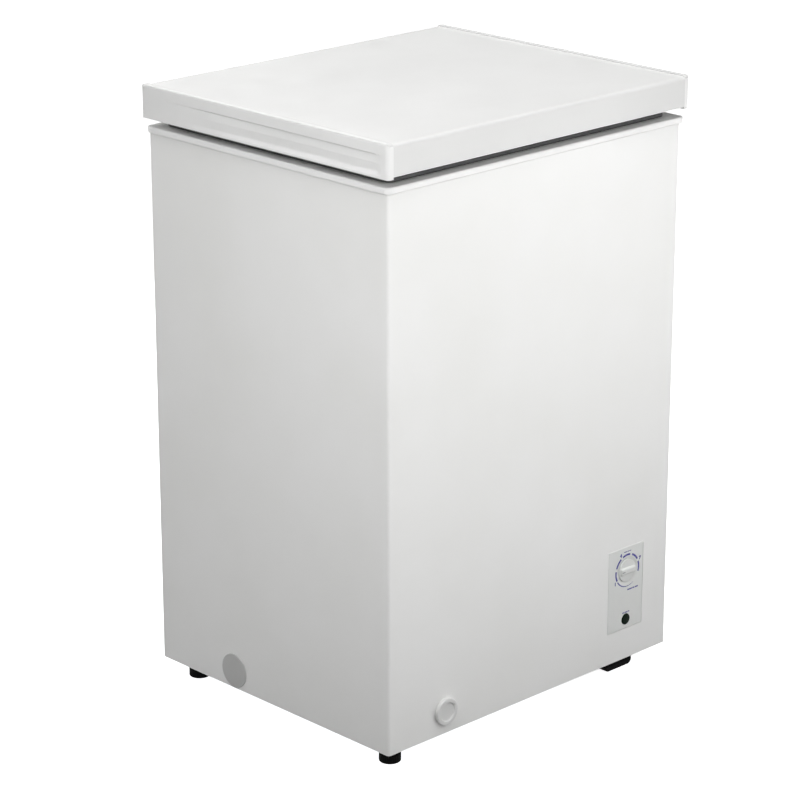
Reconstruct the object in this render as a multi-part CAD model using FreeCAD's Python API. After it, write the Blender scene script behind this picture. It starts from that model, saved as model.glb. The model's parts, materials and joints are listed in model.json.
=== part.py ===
import FreeCAD, Part
import math
import os

from FreeCAD import Vector

# Chest freezer of about 100 litres, in millimetres. +Z is up and the front faces -Y. The origin is on the
# floor under the centre of the whole freezer.

# Overall sizes
cabinet_width = 545.0
cabinet_depth = 455.0
overall_height = 850.0
rear_reach = 32.0        # how far the wall spacers stand behind the cabinet
lid_overhang = 8.0       # lid beyond the cabinet, front, rear and sides

# Heights, from the floor up and from the top down
foot_height = 28.0
collar_top = 793.0
collar_height = 9.0
lid_gap = 11.0           # collar to the bottom of the lid's side trims
skirt_lift = 4.0         # the folded front skirt ends this far above the side trims
trim_ridge = 2.0         # the side trims stand this far above the lid sheet

# Walls
sheet = 0.8
wall_thickness = 55.0
liner_sheet = 1.2
floor_thickness = 60.0
store_round = 18.0       # upright corners of the store
corner_radius = 4.0
touch_gap = 0.3          # between bodies that move past each other
seat_gap = 0.2           # between pieces of one body

# Machine room, lower right
machine_room_width = 165.0
machine_room_height = 207.0
machine_room_foam = 45.0
lining_sheet = 1.0

# Collar
collar_overhang = 5.0
collar_ledge_width = 8.0
collar_ledge_depth = 5.0
collar_round = 2.5

# Lid
trim_width = 10.0
trim_round_top = 6.0
trim_round_corner = 5.0
recess_depth = 3.5
recess_height = 24.5
recess_bottom_gap = 6.0
recess_front_gap = 19.0
recess_rear_gap = 50.0
recess_ramp = 14.0
recess_slope_share = 0.45
lid_sheet = 0.8
skirt_round = 5.0
lid_panel_sheet = 2.0
lid_panel_setback = 3.0
lid_plug_depth = 9.0
lid_plug_gap = 9.0
lid_plug_round = 14.0
gasket_width = 14.0
gasket_setback = 20.0    # gasket from the lid's outer edge
gasket_round = 8.0

# Hinges
hinge_spacing = 356.0
hinge_behind = 14.0      # pin centre behind the cabinet
hinge_above_collar = 7.0
pin_radius = 3.0
pin_fit = 0.05
ear_radius = 6.5
ear_thickness = 2.5
knuckle_length = 24.0
bracket_width = 44.0
bracket_height = 52.0
leaf_thickness = 2.5
leaf_height = 34.0

# Control panel, in front of the machine room: insets from the cabinet's right edge, drops from the room's top
panel_inset = 52.0
panel_width = 71.0
panel_drop = 39.0
panel_height = 122.0
panel_stand = 3.0
panel_round = 2.0
panel_bevel = 1.2
dial_inset = 85.0
dial_drop = 74.0
dial_well_radius = 19.2
dial_well_depth = 7.0
dial_well_wall = 1.6
knob_radius = 16.6
knob_base_height = 5.5
knob_grip_height = 6.0
knob_grip_width = 7.5
spindle_radius = 3.0
spindle_fit = 0.06
lamp_inset = 86.0
lamp_drop = 147.0
lamp_radius = 7.85
lamp_stand = 1.2

# Drain, side cap
drain_x = 103.0
drain_z = 61.0
drain_flange_radius = 19.0
drain_flange = 6.0
drain_bore = 8.0
drain_wall = 1.5
drain_plug_fit = 0.3
side_cap_y = 304.5
side_cap_z = 54.0
side_cap_radius = 24.5
side_cap_thickness = 1.6

# Feet
round_foot_radius = 15.0
foot_side_inset = 35.5
foot_end_inset = 34.5
block_foot_side_inset = 41.5
block_foot_width = 55.0
block_foot_inset = 25.0
block_foot_depth = 46.0
block_foot_round = 8.0

# Basket
basket_width = 138.0
basket_depth_down = 190.0
basket_wire = 1.6
basket_frame_wire = 2.4
basket_pitch = 24.0

# Places worked out from the sizes above
left = -cabinet_width / 2
right = cabinet_width / 2
overall_depth = lid_overhang + cabinet_depth + rear_reach
front = lid_overhang - overall_depth / 2
rear = front + cabinet_depth
cabinet_bottom = foot_height
collar_bottom = collar_top - collar_height
trim_bottom = collar_top + lid_gap
skirt_bottom = trim_bottom + skirt_lift
sheet_top = overall_height - trim_ridge
lid_left = left - lid_overhang
lid_right = right + lid_overhang
lid_front = front - lid_overhang
lid_rear = rear + lid_overhang
store_left = left + wall_thickness
store_right = right - wall_thickness
store_front = front + wall_thickness
store_rear = rear - wall_thickness
store_floor = cabinet_bottom + floor_thickness
room_left = right - machine_room_width
room_top = cabinet_bottom + machine_room_height
step_left = room_left - machine_room_foam
step_top = room_top + machine_room_foam
panel_right = right - panel_inset
panel_left = panel_right - panel_width
panel_top = room_top - panel_drop
panel_bottom = panel_top - panel_height
dial_x = right - dial_inset
dial_z = room_top - dial_drop
lamp_x = right - lamp_inset
lamp_z = room_top - lamp_drop
drain_plug_x = left + drain_x
cap_y = front + side_cap_y
hinge_y = rear + hinge_behind
hinge_z = collar_top + hinge_above_collar


past = 1.0               # a cutting shape goes this far past the face it opens


def block(x0, x1, y0, y1, z0, z1):
    return Part.makeBox(x1 - x0, y1 - y0, z1 - z0, Vector(x0, y0, z0))


def rod(start, end, radius):
    a = Vector(*start)
    b = Vector(*end)
    return Part.makeCylinder(radius, (b - a).Length, a, b - a)


def tube(start, end, outer, inner):
    return rod(start, end, outer).cut(rod(start, end, inner))


def joined(pieces):
    shape = pieces[0].fuse(pieces[1:]) if len(pieces) > 1 else pieces[0]
    return shape.removeSplitter()


def group(pieces):
    return Part.makeCompound(pieces)


def rounded(shape, radius, wanted):
    """Rounds the edges whose middle point and direction the test wants."""
    edges = []
    for edge in shape.Edges:
        first, last = edge.ParameterRange
        middle = edge.valueAt((first + last) / 2)
        direction = edge.tangentAt((first + last) / 2)
        if wanted(middle, direction):
            edges.append(edge)
    return shape.makeFillet(radius, edges)


def upright(direction):
    return abs(direction.z) > 0.99


def near(value, target):
    return abs(value - target) < 0.01


def prism(outline, direction):
    """A straight-sided solid from a closed list of corner points."""
    corners = [Vector(*point) for point in outline]
    face = Part.Face(Part.makePolygon(corners + corners[:1]))
    return face.extrude(Vector(*direction))


def pipe(points, radius, bend):
    """A round bar along straight runs joined by tangent arcs."""
    route = [Vector(*point) for point in points]
    edges = []
    start = route[0]
    for before, corner, after in zip(route, route[1:], route[2:]):
        into = (before - corner).normalize()
        out = (after - corner).normalize()
        half = into.getAngle(out) / 2
        setback = bend / math.tan(half)
        entry = corner + into * setback
        leave = corner + out * setback
        centre_line = (into + out).normalize()
        top = corner + centre_line * (bend / math.sin(half) - bend)
        edges.append(Part.LineSegment(start, entry).toShape())
        edges.append(Part.Arc(entry, top, leave).toShape())
        start = leave
    edges.append(Part.LineSegment(start, route[-1]).toShape())
    path = Part.Wire(edges)
    section = Part.Wire(Part.makeCircle(radius, route[0], route[1] - route[0]))
    return path.makePipeShell([section], True, False)


pieces = {}


def keep(name, shape):
    """Files a finished piece under its name, to be drilled for its screws and written out at the end."""
    pieces[name] = shape


def screw(centre, axis, head_radius, head_height, shank_radius, shank_length):
    """A pan-head screw. The axis points from the shank to the head."""
    along = Vector(*axis).normalize()
    seat = Vector(*centre)
    head = Part.makeCylinder(head_radius, head_height, seat, along)
    rim = [e for e in head.Edges if near((e.CenterOfMass - seat).dot(along), head_height)]
    head = head.makeFillet(head_height * 0.4, rim)
    slot = Part.makeBox(head_radius * 1.3, head_radius * 0.24, head_height)
    slot.translate(Vector(-head_radius * 0.65, -head_radius * 0.12, head_height * 0.55))
    cross = slot.copy()
    cross.rotate(Vector(0, 0, 0), Vector(0, 0, 1), 90)
    slot = slot.fuse(cross)
    slot.Placement = FreeCAD.Placement(seat, FreeCAD.Rotation(Vector(0, 0, 1), along))
    shank = Part.makeCylinder(shank_radius, shank_length, seat, along * -1)
    return head.cut(slot).fuse(shank)


screw_length = 9.0
screw_radius = 1.5

# Store: the liner's outer and inner shapes, with the step over the machine room


def store_shape(grow, top):
    main = block(store_left - grow, store_right + grow, store_front - grow, store_rear + grow,
                 store_floor - grow, top)
    step = block(step_left - grow, store_right + grow + past, store_front - grow - past,
                 store_rear + grow + past,
                 store_floor - grow - past, step_top - grow)
    shape = main.cut(step)
    centre_y = (front + rear) / 2
    half_depth = (store_rear - store_front) / 2 + grow
    return rounded(shape, store_round + grow, lambda p, d: upright(d) and not near(p.x, step_left - grow)
                   and near(abs(p.y - centre_y), half_depth))


# Cabinet shell
wrapper_outside = rounded(block(left, right, front, rear, cabinet_bottom, collar_bottom), corner_radius,
                          lambda p, d: upright(d) and near(p.y, front))
wrapper_inside = rounded(block(left + sheet, right - sheet, front + sheet, rear, cabinet_bottom,
                               collar_bottom),
                         corner_radius - sheet, lambda p, d: upright(d) and near(p.y, front + sheet))
panel_hole_margin = 5.0
wrapper_panel_hole = block(panel_left + panel_hole_margin, panel_right - panel_hole_margin,
                           front - past, front + sheet + past,
                           panel_bottom + panel_hole_margin, panel_top - panel_hole_margin)
drain_sleeve_radius = drain_bore + drain_wall
wrapper_drain_hole = rod((drain_plug_x, front - past, drain_z), (drain_plug_x, front + sheet + past, drain_z),
                         drain_sleeve_radius)
cap_hole_radius = 17.0
wrapper_cap_hole = rod((left - past, cap_y, side_cap_z), (left + sheet + past, cap_y, side_cap_z),
                       cap_hole_radius)
side_vent_pitch = 16.0
side_vent_length = 150.0
side_vent_slot = 5.0
side_vent_rear_gap = 60.0
side_vent_lift = 60.0
side_vent_top_gap = 34.0
side_vent_count = int((machine_room_height - side_vent_lift - side_vent_top_gap) / side_vent_pitch)
side_vent_rear = rear - side_vent_rear_gap
side_vent_heights = [cabinet_bottom + side_vent_lift + i * side_vent_pitch for i in range(side_vent_count)]
side_vents = [block(right - sheet - past, right + past, side_vent_rear - side_vent_length, side_vent_rear,
                    z, z + side_vent_slot) for z in side_vent_heights]
outer_wrapper = wrapper_outside.cut(wrapper_inside)
wrapper_holes = [wrapper_panel_hole, wrapper_drain_hole, wrapper_cap_hole] + side_vents
outer_wrapper = outer_wrapper.cut(group(wrapper_holes))
keep("outer_wrapper", outer_wrapper)

rear_room_margin = 16.0
room_opening = block(room_left + rear_room_margin, right - rear_room_margin, rear - sheet - past, rear + past,
                     cabinet_bottom + rear_room_margin, room_top - rear_room_margin)
rear_panel = block(left + sheet, right - sheet, rear - sheet, rear, cabinet_bottom,
                   collar_bottom).cut(room_opening)
keep("rear_panel", rear_panel)

bottom_sheet = block(left, room_left, front, rear - sheet, cabinet_bottom, cabinet_bottom + sheet)
keep("bottom_panel", bottom_sheet.common(wrapper_inside))

room_wall = block(room_left, room_left + lining_sheet, front + sheet, rear - sheet, cabinet_bottom, room_top)
room_roof = block(room_left + lining_sheet, right - sheet, front + sheet, rear - sheet,
                  room_top - lining_sheet, room_top)
keep("machine_room_lining", joined([room_wall, room_roof]).common(wrapper_inside))

# Liner
liner_top = collar_bottom
inner_space = store_shape(0.0, liner_top + past)
liner_outside = store_shape(liner_sheet, liner_top)
drain_store_inset = 32.0
drain_store_x = drain_plug_x
drain_store_y = store_front + drain_store_inset
stopper_hole_radius = drain_bore + seat_gap
drain_store_hole = rod((drain_store_x, drain_store_y, store_floor - liner_sheet - past),
                       (drain_store_x, drain_store_y, store_floor + past), stopper_hole_radius)
inner_liner = liner_outside.cut(inner_space).cut(drain_store_hole)
keep("inner_liner", inner_liner)

# Drain: a tube down from the store's floor and out at the front
drain_tube_outer = drain_sleeve_radius - seat_gap
drain_down = rod((drain_store_x, drain_store_y, drain_z),
                 (drain_store_x, drain_store_y, store_floor - liner_sheet),
                 drain_tube_outer)
drain_across = rod((drain_plug_x, front, drain_z), (drain_plug_x, drain_store_y, drain_z), drain_tube_outer)
drain_turn = Part.makeSphere(drain_tube_outer, Vector(drain_store_x, drain_store_y, drain_z))
bore_down = rod((drain_store_x, drain_store_y, drain_z),
                (drain_store_x, drain_store_y, store_floor - liner_sheet), drain_bore)
bore_across = rod((drain_plug_x, front, drain_z), (drain_plug_x, drain_store_y, drain_z), drain_bore)
bore_turn = Part.makeSphere(drain_bore, Vector(drain_store_x, drain_store_y, drain_z))
drain_envelope = drain_down.fuse([drain_across, drain_turn])
drain_tube = drain_envelope.cut(bore_down.fuse([bore_across, bore_turn]))
keep("drain_tube", drain_tube)

# Cooling coils: square turns round the store, and against the outer walls
coil_radius = 3.0
coil_pitch = 52.0
evaporator_drop = 60.0
evaporator_step_gap = 30.0
condenser_drop = 90.0
condenser_step_gap = 80.0
evaporator_top = collar_bottom - evaporator_drop
evaporator_turns = 1 + int((evaporator_top - step_top - evaporator_step_gap) / coil_pitch)
condenser_top = collar_bottom - condenser_drop
condenser_turns = 1 + int((condenser_top - step_top - condenser_step_gap) / coil_pitch)
condenser_inset = sheet + seat_gap + coil_radius


def square_turn(x0, x1, y0, y1, z, radius, bend):
    route = [((x0 + x1) / 2, y0, z), (x1, y0, z), (x1, y1, z), (x0, y1, z), (x0, y0, z),
             ((x0 + x1) / 2, y0, z)]
    return pipe(route, radius, bend)


coil_x = store_right + liner_sheet + seat_gap + coil_radius
coil_y = store_rear + liner_sheet + seat_gap + coil_radius
coil_front = store_front - liner_sheet - seat_gap - coil_radius
evaporator_heights = [evaporator_top - i * coil_pitch for i in range(evaporator_turns)]
evaporator_turn_bend = store_round + liner_sheet + seat_gap + coil_radius
evaporator = [square_turn(-coil_x, coil_x, coil_front, coil_y, z, coil_radius, evaporator_turn_bend)
              for z in evaporator_heights]
evaporator_risers = [rod((0, coil_front, low + coil_radius / 2), (0, coil_front, high - coil_radius / 2),
                         coil_radius)
                     for high, low in zip(evaporator_heights, evaporator_heights[1:])]
keep("evaporator_coil", joined(evaporator + evaporator_risers))


def groove(x0, x1, y0, y1, z, bend):
    """The channel that the foam leaves round one turn."""
    reach = coil_radius + seat_gap
    outer = block(x0 - reach, x1 + reach, y0 - reach, y1 + reach, z - reach, z + reach)
    outer = rounded(outer, bend + reach, lambda p, d: upright(d))
    inner = block(x0 + reach, x1 - reach, y0 + reach, y1 - reach, z - reach, z + reach)
    return outer.cut(rounded(inner, bend - reach, lambda p, d: upright(d)))


condenser_heights = [condenser_top - i * coil_pitch for i in range(condenser_turns)]
condenser_x = right - condenser_inset
condenser_front = front + condenser_inset
condenser_rear = rear - condenser_inset
condenser_bend = 20.0
condenser = [square_turn(-condenser_x, condenser_x, condenser_front, condenser_rear, z, coil_radius,
                         condenser_bend)
             for z in condenser_heights]
condenser_risers = [rod((0, condenser_front, low + coil_radius / 2),
                        (0, condenser_front, high - coil_radius / 2),
                        coil_radius) for high, low in zip(condenser_heights, condenser_heights[1:])]
keep("condenser_coil", joined(condenser + condenser_risers))

# Foam fills what is left between the walls
riser_reach = coil_radius + seat_gap
foam = wrapper_inside.common(block(left, right, front, rear - sheet, cabinet_bottom + sheet, collar_bottom))
foam = foam.cut(store_shape(liner_sheet, liner_top + past))
foam = foam.cut(block(room_left, right, front, rear, cabinet_bottom, room_top))
foam = foam.cut(drain_envelope)
for z in evaporator_heights:
    foam = foam.cut(groove(-coil_x, coil_x, coil_front, coil_y, z, evaporator_turn_bend))
for z in condenser_heights:
    foam = foam.cut(groove(-condenser_x, condenser_x, condenser_front, condenser_rear, z, condenser_bend))
foam = foam.cut(block(-riser_reach, riser_reach, coil_front - riser_reach, coil_front + riser_reach,
                      evaporator_heights[-1], evaporator_heights[0]))
foam = foam.cut(block(-riser_reach, riser_reach, condenser_front - riser_reach, condenser_front + riser_reach,
                      condenser_heights[-1], condenser_heights[0]))
cap_boss_depth = 9.0
foam = foam.cut(rod((left, cap_y, side_cap_z), (left + cap_boss_depth + seat_gap, cap_y, side_cap_z),
                    cap_hole_radius + seat_gap))
sleeve_depth = 4 * sheet
foam = foam.cut(rod((drain_plug_x, front, drain_z), (drain_plug_x, front + sleeve_depth, drain_z),
                    drain_sleeve_radius))
keep("cabinet_foam", foam)

# Collar
collar = block(left - collar_overhang, right + collar_overhang, front - collar_overhang,
               rear + collar_overhang,
               collar_bottom, collar_top)
collar = rounded(collar, corner_radius + collar_overhang, lambda p, d: upright(d))
collar = rounded(collar, collar_round, lambda p, d: not upright(d))
store_mouth = rounded(block(store_left, store_right, store_front, store_rear, collar_bottom - past,
                            collar_top + past), store_round, lambda p, d: upright(d))
ledge_mouth = rounded(block(store_left - collar_ledge_width, store_right + collar_ledge_width,
                            store_front - collar_ledge_width, store_rear + collar_ledge_width,
                            collar_top - collar_ledge_depth, collar_top + past),
                      store_round + collar_ledge_width, lambda p, d: upright(d))
keep("top_collar", collar.cut(store_mouth).cut(ledge_mouth))

# Side cap over the foam filling hole
cap_disc = Part.makeCylinder(side_cap_radius, side_cap_thickness, Vector(left, cap_y, side_cap_z),
                             Vector(-1, 0, 0))
cap_round = 0.9
cap_boss_wall = 2.0
cap_disc = rounded(cap_disc, cap_round, lambda p, d: near(p.x, left - side_cap_thickness))
cap_boss = tube((left, cap_y, side_cap_z), (left + cap_boss_depth, cap_y, side_cap_z),
                cap_hole_radius - seat_gap, cap_hole_radius - seat_gap - cap_boss_wall)
keep("side_cap", joined([cap_disc, cap_boss]))

# Drain plug, which pulls out of the front
flange = Part.makeCylinder(drain_flange_radius, drain_flange,
                           Vector(drain_plug_x, front - touch_gap, drain_z),
                           Vector(0, -1, 0))
flange_round = 2.2
flange_rim = 5.0
dish_depth = 1.8
plug_length = 20.0
flange = rounded(flange, flange_round, lambda p, d: near(p.y, front - touch_gap - drain_flange))
dish = Part.makeCylinder(drain_flange_radius - flange_rim, dish_depth,
                         Vector(drain_plug_x, front - touch_gap - drain_flange, drain_z), Vector(0, 1, 0))
plug_stem = rod((drain_plug_x, front - touch_gap, drain_z), (drain_plug_x, front + plug_length, drain_z),
                drain_bore - drain_plug_fit)
keep("drain_plug", joined([flange.cut(dish), plug_stem]))

# Drain stopper inside the store
stopper_seat = store_floor + touch_gap
stopper_flange = 5.0
stopper_flange_radius = 14.0
stopper_length = 14.0
stopper_grip_radius = 4.0
stopper_grip_height = 7.0
stopper_top = stopper_seat + stopper_flange
stopper = joined([
    rod((drain_store_x, drain_store_y, stopper_seat), (drain_store_x, drain_store_y, stopper_top),
        stopper_flange_radius),
    rod((drain_store_x, drain_store_y, store_floor - stopper_length),
        (drain_store_x, drain_store_y, stopper_seat),
        drain_bore - drain_plug_fit),
    rod((drain_store_x, drain_store_y, stopper_top),
        (drain_store_x, drain_store_y, stopper_top + stopper_grip_height), stopper_grip_radius),
])
keep("drain_stopper", stopper)

# Control panel with its dial well
panel_front = front - panel_stand
panel = block(panel_left, panel_right, panel_front, front, panel_bottom, panel_top)
panel = rounded(panel, panel_round, lambda p, d: abs(d.y) > 0.99)
panel_edges = [e for e in panel.Edges if near(e.CenterOfMass.y, panel_front)]
panel = panel.makeChamfer(panel_bevel, panel_edges)
well_back = panel_front + dial_well_depth
well_cup = rod((dial_x, front, dial_z), (dial_x, well_back + dial_well_wall, dial_z),
               dial_well_radius + dial_well_wall)
web_margin = panel_hole_margin + seat_gap
web_depth = 1.6
panel_web = block(panel_left + web_margin, panel_right - web_margin, front, front + web_depth,
                  panel_bottom + web_margin, panel_top - web_margin)
control_panel = joined([panel, well_cup, panel_web])
spindle_hole_radius = spindle_radius + 1.5
lens_hole_radius = lamp_radius + seat_gap
control_panel = control_panel.cut(rod((dial_x, panel_front - past, dial_z), (dial_x, well_back, dial_z),
                                      dial_well_radius))
control_panel = control_panel.cut(rod((dial_x, well_back - past, dial_z),
                                      (dial_x, well_back + dial_well_wall + past, dial_z),
                                      spindle_hole_radius))
control_panel = control_panel.cut(rod((lamp_x, panel_front - past, lamp_z),
                                      (lamp_x, front + web_depth + past, lamp_z),
                                      lens_hole_radius))
keep("control_panel", control_panel)

# Knob, its spindle and the thermostat behind the panel
knob_seat = well_back - touch_gap
knob_base_front = knob_seat - knob_base_height
knob_front = knob_base_front - knob_grip_height
knob_base_round = 1.0
knob_grip_round = 1.8
knob_grip_inset = 1.2
knob_grip_end_inset = 1.0
spindle_socket_roof = 1.5
knob_base = Part.makeCylinder(knob_radius, knob_base_height, Vector(dial_x, knob_seat, dial_z),
                              Vector(0, -1, 0))
knob_base = rounded(knob_base, knob_base_round, lambda p, d: near(p.y, knob_base_front))
knob_grip = block(dial_x - knob_radius + knob_grip_inset, dial_x + knob_radius - knob_grip_inset, knob_front,
                  knob_base_front + past, dial_z - knob_grip_width / 2, dial_z + knob_grip_width / 2)
knob_grip = rounded(knob_grip, knob_grip_round, lambda p, d: near(p.y, knob_front))
knob_grip = knob_grip.common(rod((dial_x, knob_front - past, dial_z),
                                 (dial_x, knob_base_front + past, dial_z),
                                 knob_radius - knob_grip_end_inset))
spindle_hole = rod((dial_x, knob_seat + past, dial_z),
                   (dial_x, knob_base_front + spindle_socket_roof, dial_z),
                   spindle_radius + spindle_fit)
thermostat_knob = joined([knob_base, knob_grip]).cut(spindle_hole)
keep("thermostat_knob", thermostat_knob)

thermostat_width = 40.0
thermostat_depth = 30.0
thermostat_height = 32.0
thermostat_round = 2.0
thermostat_neck_length = 3.0
thermostat_neck_radius = 5.5
terminal_count = 3
terminal_pitch = 11.0
terminal_width = 6.0
terminal_length = 8.0
terminal_sheet = 0.8
neck_front = well_back + dial_well_wall + seat_gap
case_front = neck_front + thermostat_neck_length
case_rear = case_front + thermostat_depth
case_top = dial_z + thermostat_height / 2
spindle_tip = knob_base_front + spindle_socket_roof + touch_gap
thermostat_case = block(dial_x - thermostat_width / 2, dial_x + thermostat_width / 2, case_front, case_rear,
                        case_top - thermostat_height, case_top)
thermostat_case = rounded(thermostat_case, thermostat_round, lambda p, d: abs(d.y) > 0.99)
thermostat_neck = rod((dial_x, case_front, dial_z), (dial_x, neck_front, dial_z), thermostat_neck_radius)
spindle = rod((dial_x, neck_front + past, dial_z), (dial_x, spindle_tip, dial_z), spindle_radius)
terminal_centres = [dial_x + (i - (terminal_count - 1) / 2) * terminal_pitch for i in range(terminal_count)]
terminals = [block(x - terminal_width / 2, x + terminal_width / 2, case_rear, case_rear + terminal_length,
                   dial_z - terminal_sheet / 2, dial_z + terminal_sheet / 2) for x in terminal_centres]
keep("thermostat_body", joined([thermostat_case, thermostat_neck, spindle]))
keep("thermostat_terminals", group(terminals))

sensor_radius = 1.2
sensor_bend = 9.0
sensor_rise = 22.0
sensor_reach = 60.0      # how far behind the panel the capillary crosses the room
sensor_wall_gap = 30.0
sensor_y = case_front + thermostat_depth / 2
sensor_run_y = neck_front + sensor_reach
sensor_run_z = case_top + sensor_rise
sensor_end_x = room_left + sensor_wall_gap
pipe_top = room_top - lining_sheet - seat_gap
sensor_route = [(dial_x, sensor_y, case_top), (dial_x, sensor_y, sensor_run_z),
                (dial_x, sensor_run_y, sensor_run_z),
                (sensor_end_x, sensor_run_y, sensor_run_z), (sensor_end_x, sensor_run_y, pipe_top)]
keep("sensor_capillary", pipe(sensor_route, sensor_radius, sensor_bend))

lens_depth = 5.0
lens_round = 1.1
lamp_holder_radius = 5.0
lamp_holder_length = 22.0
lamp_leg_radius = 0.8
lamp_leg_length = 8.0
lamp_leg_offset = 2.5
lens_rear = panel_front + lens_depth
lens = Part.makeCylinder(lamp_radius, lamp_stand + lens_depth, Vector(lamp_x, lens_rear, lamp_z),
                         Vector(0, -1, 0))
lens = rounded(lens, lens_round, lambda p, d: near(p.y, panel_front - lamp_stand))
keep("indicator_lens", lens)
holder_front = lens_rear + seat_gap
holder_rear = holder_front + lamp_holder_length
lamp_holder = rod((lamp_x, holder_front, lamp_z), (lamp_x, holder_rear, lamp_z), lamp_holder_radius)
lamp_legs = [rod((x, holder_rear, lamp_z), (x, holder_rear + lamp_leg_length, lamp_z), lamp_leg_radius)
             for x in (lamp_x - lamp_leg_offset, lamp_x + lamp_leg_offset)]
keep("indicator_lamp", joined([lamp_holder] + lamp_legs))

# Compressor on its base plate
base_plate_thickness = 2.0
plate_bottom = cabinet_bottom
plate_top = plate_bottom + base_plate_thickness
plate_left = room_left + lining_sheet + seat_gap
plate_right = right - sheet - seat_gap
plate_front = front + sheet + seat_gap
plate_rear = rear - sheet - seat_gap
compressor_rear_gap = 125.0
compressor_half_width = 52.0
compressor_half_depth = 68.0
compressor_x = (room_left + right) / 2
compressor_y = rear - compressor_rear_gap
plate_flange_height = 12.0
grommet_radius = 11.0
grommet_height = 16.0
grommet_x = 45.0
grommet_y = 82.0
bolt_radius = 3.0
grommet_places = [(compressor_x + i * grommet_x, compressor_y + j * grommet_y)
                  for i in (-1, 1) for j in (-1, 1)]
base_plate = block(plate_left, plate_right, plate_front, plate_rear, plate_bottom, plate_top)
plate_flange = block(plate_left, plate_right, plate_rear - base_plate_thickness, plate_rear, plate_top,
                     plate_top + plate_flange_height)
base_plate = joined([base_plate, plate_flange]).common(wrapper_inside)
for x, y in grommet_places:
    base_plate = base_plate.cut(rod((x, y, plate_bottom - past), (x, y, plate_top + past), bolt_radius))
keep("compressor_base_plate", base_plate)

grommets = [tube((x, y, plate_top), (x, y, plate_top + grommet_height), grommet_radius,
                 bolt_radius + seat_gap)
            for x, y in grommet_places]
keep("compressor_grommets", group(grommets))

mount_bottom = plate_top + grommet_height
mount_thickness = 2.5
mount_margin = 12.0
mount_round = 10.0
mount_top = mount_bottom + mount_thickness
mount_half_x = grommet_x + mount_margin
mount_half_y = grommet_y + mount_margin
mount_plate = block(compressor_x - mount_half_x, compressor_x + mount_half_x, compressor_y - mount_half_y,
                    compressor_y + mount_half_y, mount_bottom, mount_top)
mount_plate = rounded(mount_plate, mount_round, lambda p, d: upright(d))
for x, y in grommet_places:
    mount_plate = mount_plate.cut(rod((x, y, mount_bottom - past), (x, y, mount_top + past),
                                      bolt_radius + seat_gap))
shell_height = 118.0
shell_round_top = 26.0
shell_round_bottom = 8.0
weld_band_overhang = 2.5
weld_band_height = 6.0
weld_band_lift = 56.0


def oval(shape, lift):
    """Stretches a round shape at the origin to the compressor's oval plan and sets it in place."""
    place = FreeCAD.Matrix()
    place.A22 = compressor_half_depth / compressor_half_width
    place.A14 = compressor_x
    place.A24 = compressor_y
    place.A34 = mount_top + lift
    return shape.transformGeometry(place)


shell = Part.makeCylinder(compressor_half_width, shell_height)
shell = rounded(shell, shell_round_top, lambda p, d: near(p.z, shell_height))
shell = rounded(shell, shell_round_bottom, lambda p, d: near(p.z, 0))
weld_band = Part.makeCylinder(compressor_half_width + weld_band_overhang, weld_band_height)
stub_radius = 4.5
stub_length = 8.0
stub_sink = 28.0
pipe_offset = 18.0
pipe_lift = 40.0
process_lift = 26.0
shell_front = compressor_y - compressor_half_depth
stub_end = shell_front - stub_length
pipe_z = mount_top + pipe_lift
process_z = mount_top + process_lift
suction_x = compressor_x - pipe_offset
discharge_x = compressor_x + pipe_offset
pipe_stubs = [rod((x, shell_front + stub_sink, z), (x, stub_end, z), stub_radius)
              for x, z in ((suction_x, pipe_z), (discharge_x, pipe_z), (compressor_x, process_z))]
keep("compressor", joined([mount_plate, oval(shell, 0.0), oval(weld_band, weld_band_lift)] + pipe_stubs))

washer_radius = 7.0
washer_thickness = 0.6
nut_corner_radius = 5.8
nut_height = 5.0
bolt_stand = 8.0         # above the washer
nut_bottom = mount_top + washer_thickness
bolts = []
for x, y in grommet_places:
    shank = rod((x, y, plate_bottom), (x, y, nut_bottom + bolt_stand), bolt_radius)
    washer = rod((x, y, mount_top), (x, y, nut_bottom), washer_radius)
    corners = [(x + nut_corner_radius * math.cos(math.radians(60 * k)),
                y + nut_corner_radius * math.sin(math.radians(60 * k)), nut_bottom) for k in range(6)]
    bolts.append(joined([shank, washer, prism(corners, (0, 0, nut_height))]))
keep("compressor_bolts", group(bolts))

terminal_box_gap = 4.0
terminal_box_half_depth = 24.0
terminal_box_lift = 12.0
terminal_box_height = 42.0
terminal_box_round = 3.0
terminal_box_bottom = mount_top + terminal_box_lift
terminal_box = block(room_left + lining_sheet + terminal_box_gap,
                     compressor_x - compressor_half_width - terminal_box_gap,
                     compressor_y - terminal_box_half_depth, compressor_y + terminal_box_half_depth,
                     terminal_box_bottom, terminal_box_bottom + terminal_box_height)
terminal_box = rounded(terminal_box, terminal_box_round, lambda p, d: abs(d.x) > 0.99)
keep("compressor_terminal_box", terminal_box)

# Refrigerant pipes and the drier
suction_radius = 3.0
suction_bend = 14.0
suction_reach = 42.0
thin_pipe_radius = 2.4
thin_pipe_bend = 12.0
discharge_reach = 30.0
discharge_rise = 45.0
discharge_wall_gap = 22.0
process_reach = 26.0
process_rise = 44.0
suction_y = shell_front - suction_reach
suction_route = [(suction_x, stub_end, pipe_z), (suction_x, suction_y, pipe_z),
                 (suction_x, suction_y, pipe_top)]
keep("suction_pipe", pipe(suction_route, suction_radius, suction_bend))
discharge_y = shell_front - discharge_reach
discharge_z = pipe_z + discharge_rise
discharge_end_x = right - discharge_wall_gap
discharge_route = [(discharge_x, stub_end, pipe_z), (discharge_x, discharge_y, pipe_z),
                   (discharge_x, discharge_y, discharge_z), (discharge_end_x, discharge_y, discharge_z),
                   (discharge_end_x, discharge_y, pipe_top)]
keep("discharge_pipe", pipe(discharge_route, thin_pipe_radius, thin_pipe_bend))
process_y = shell_front - process_reach
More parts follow.
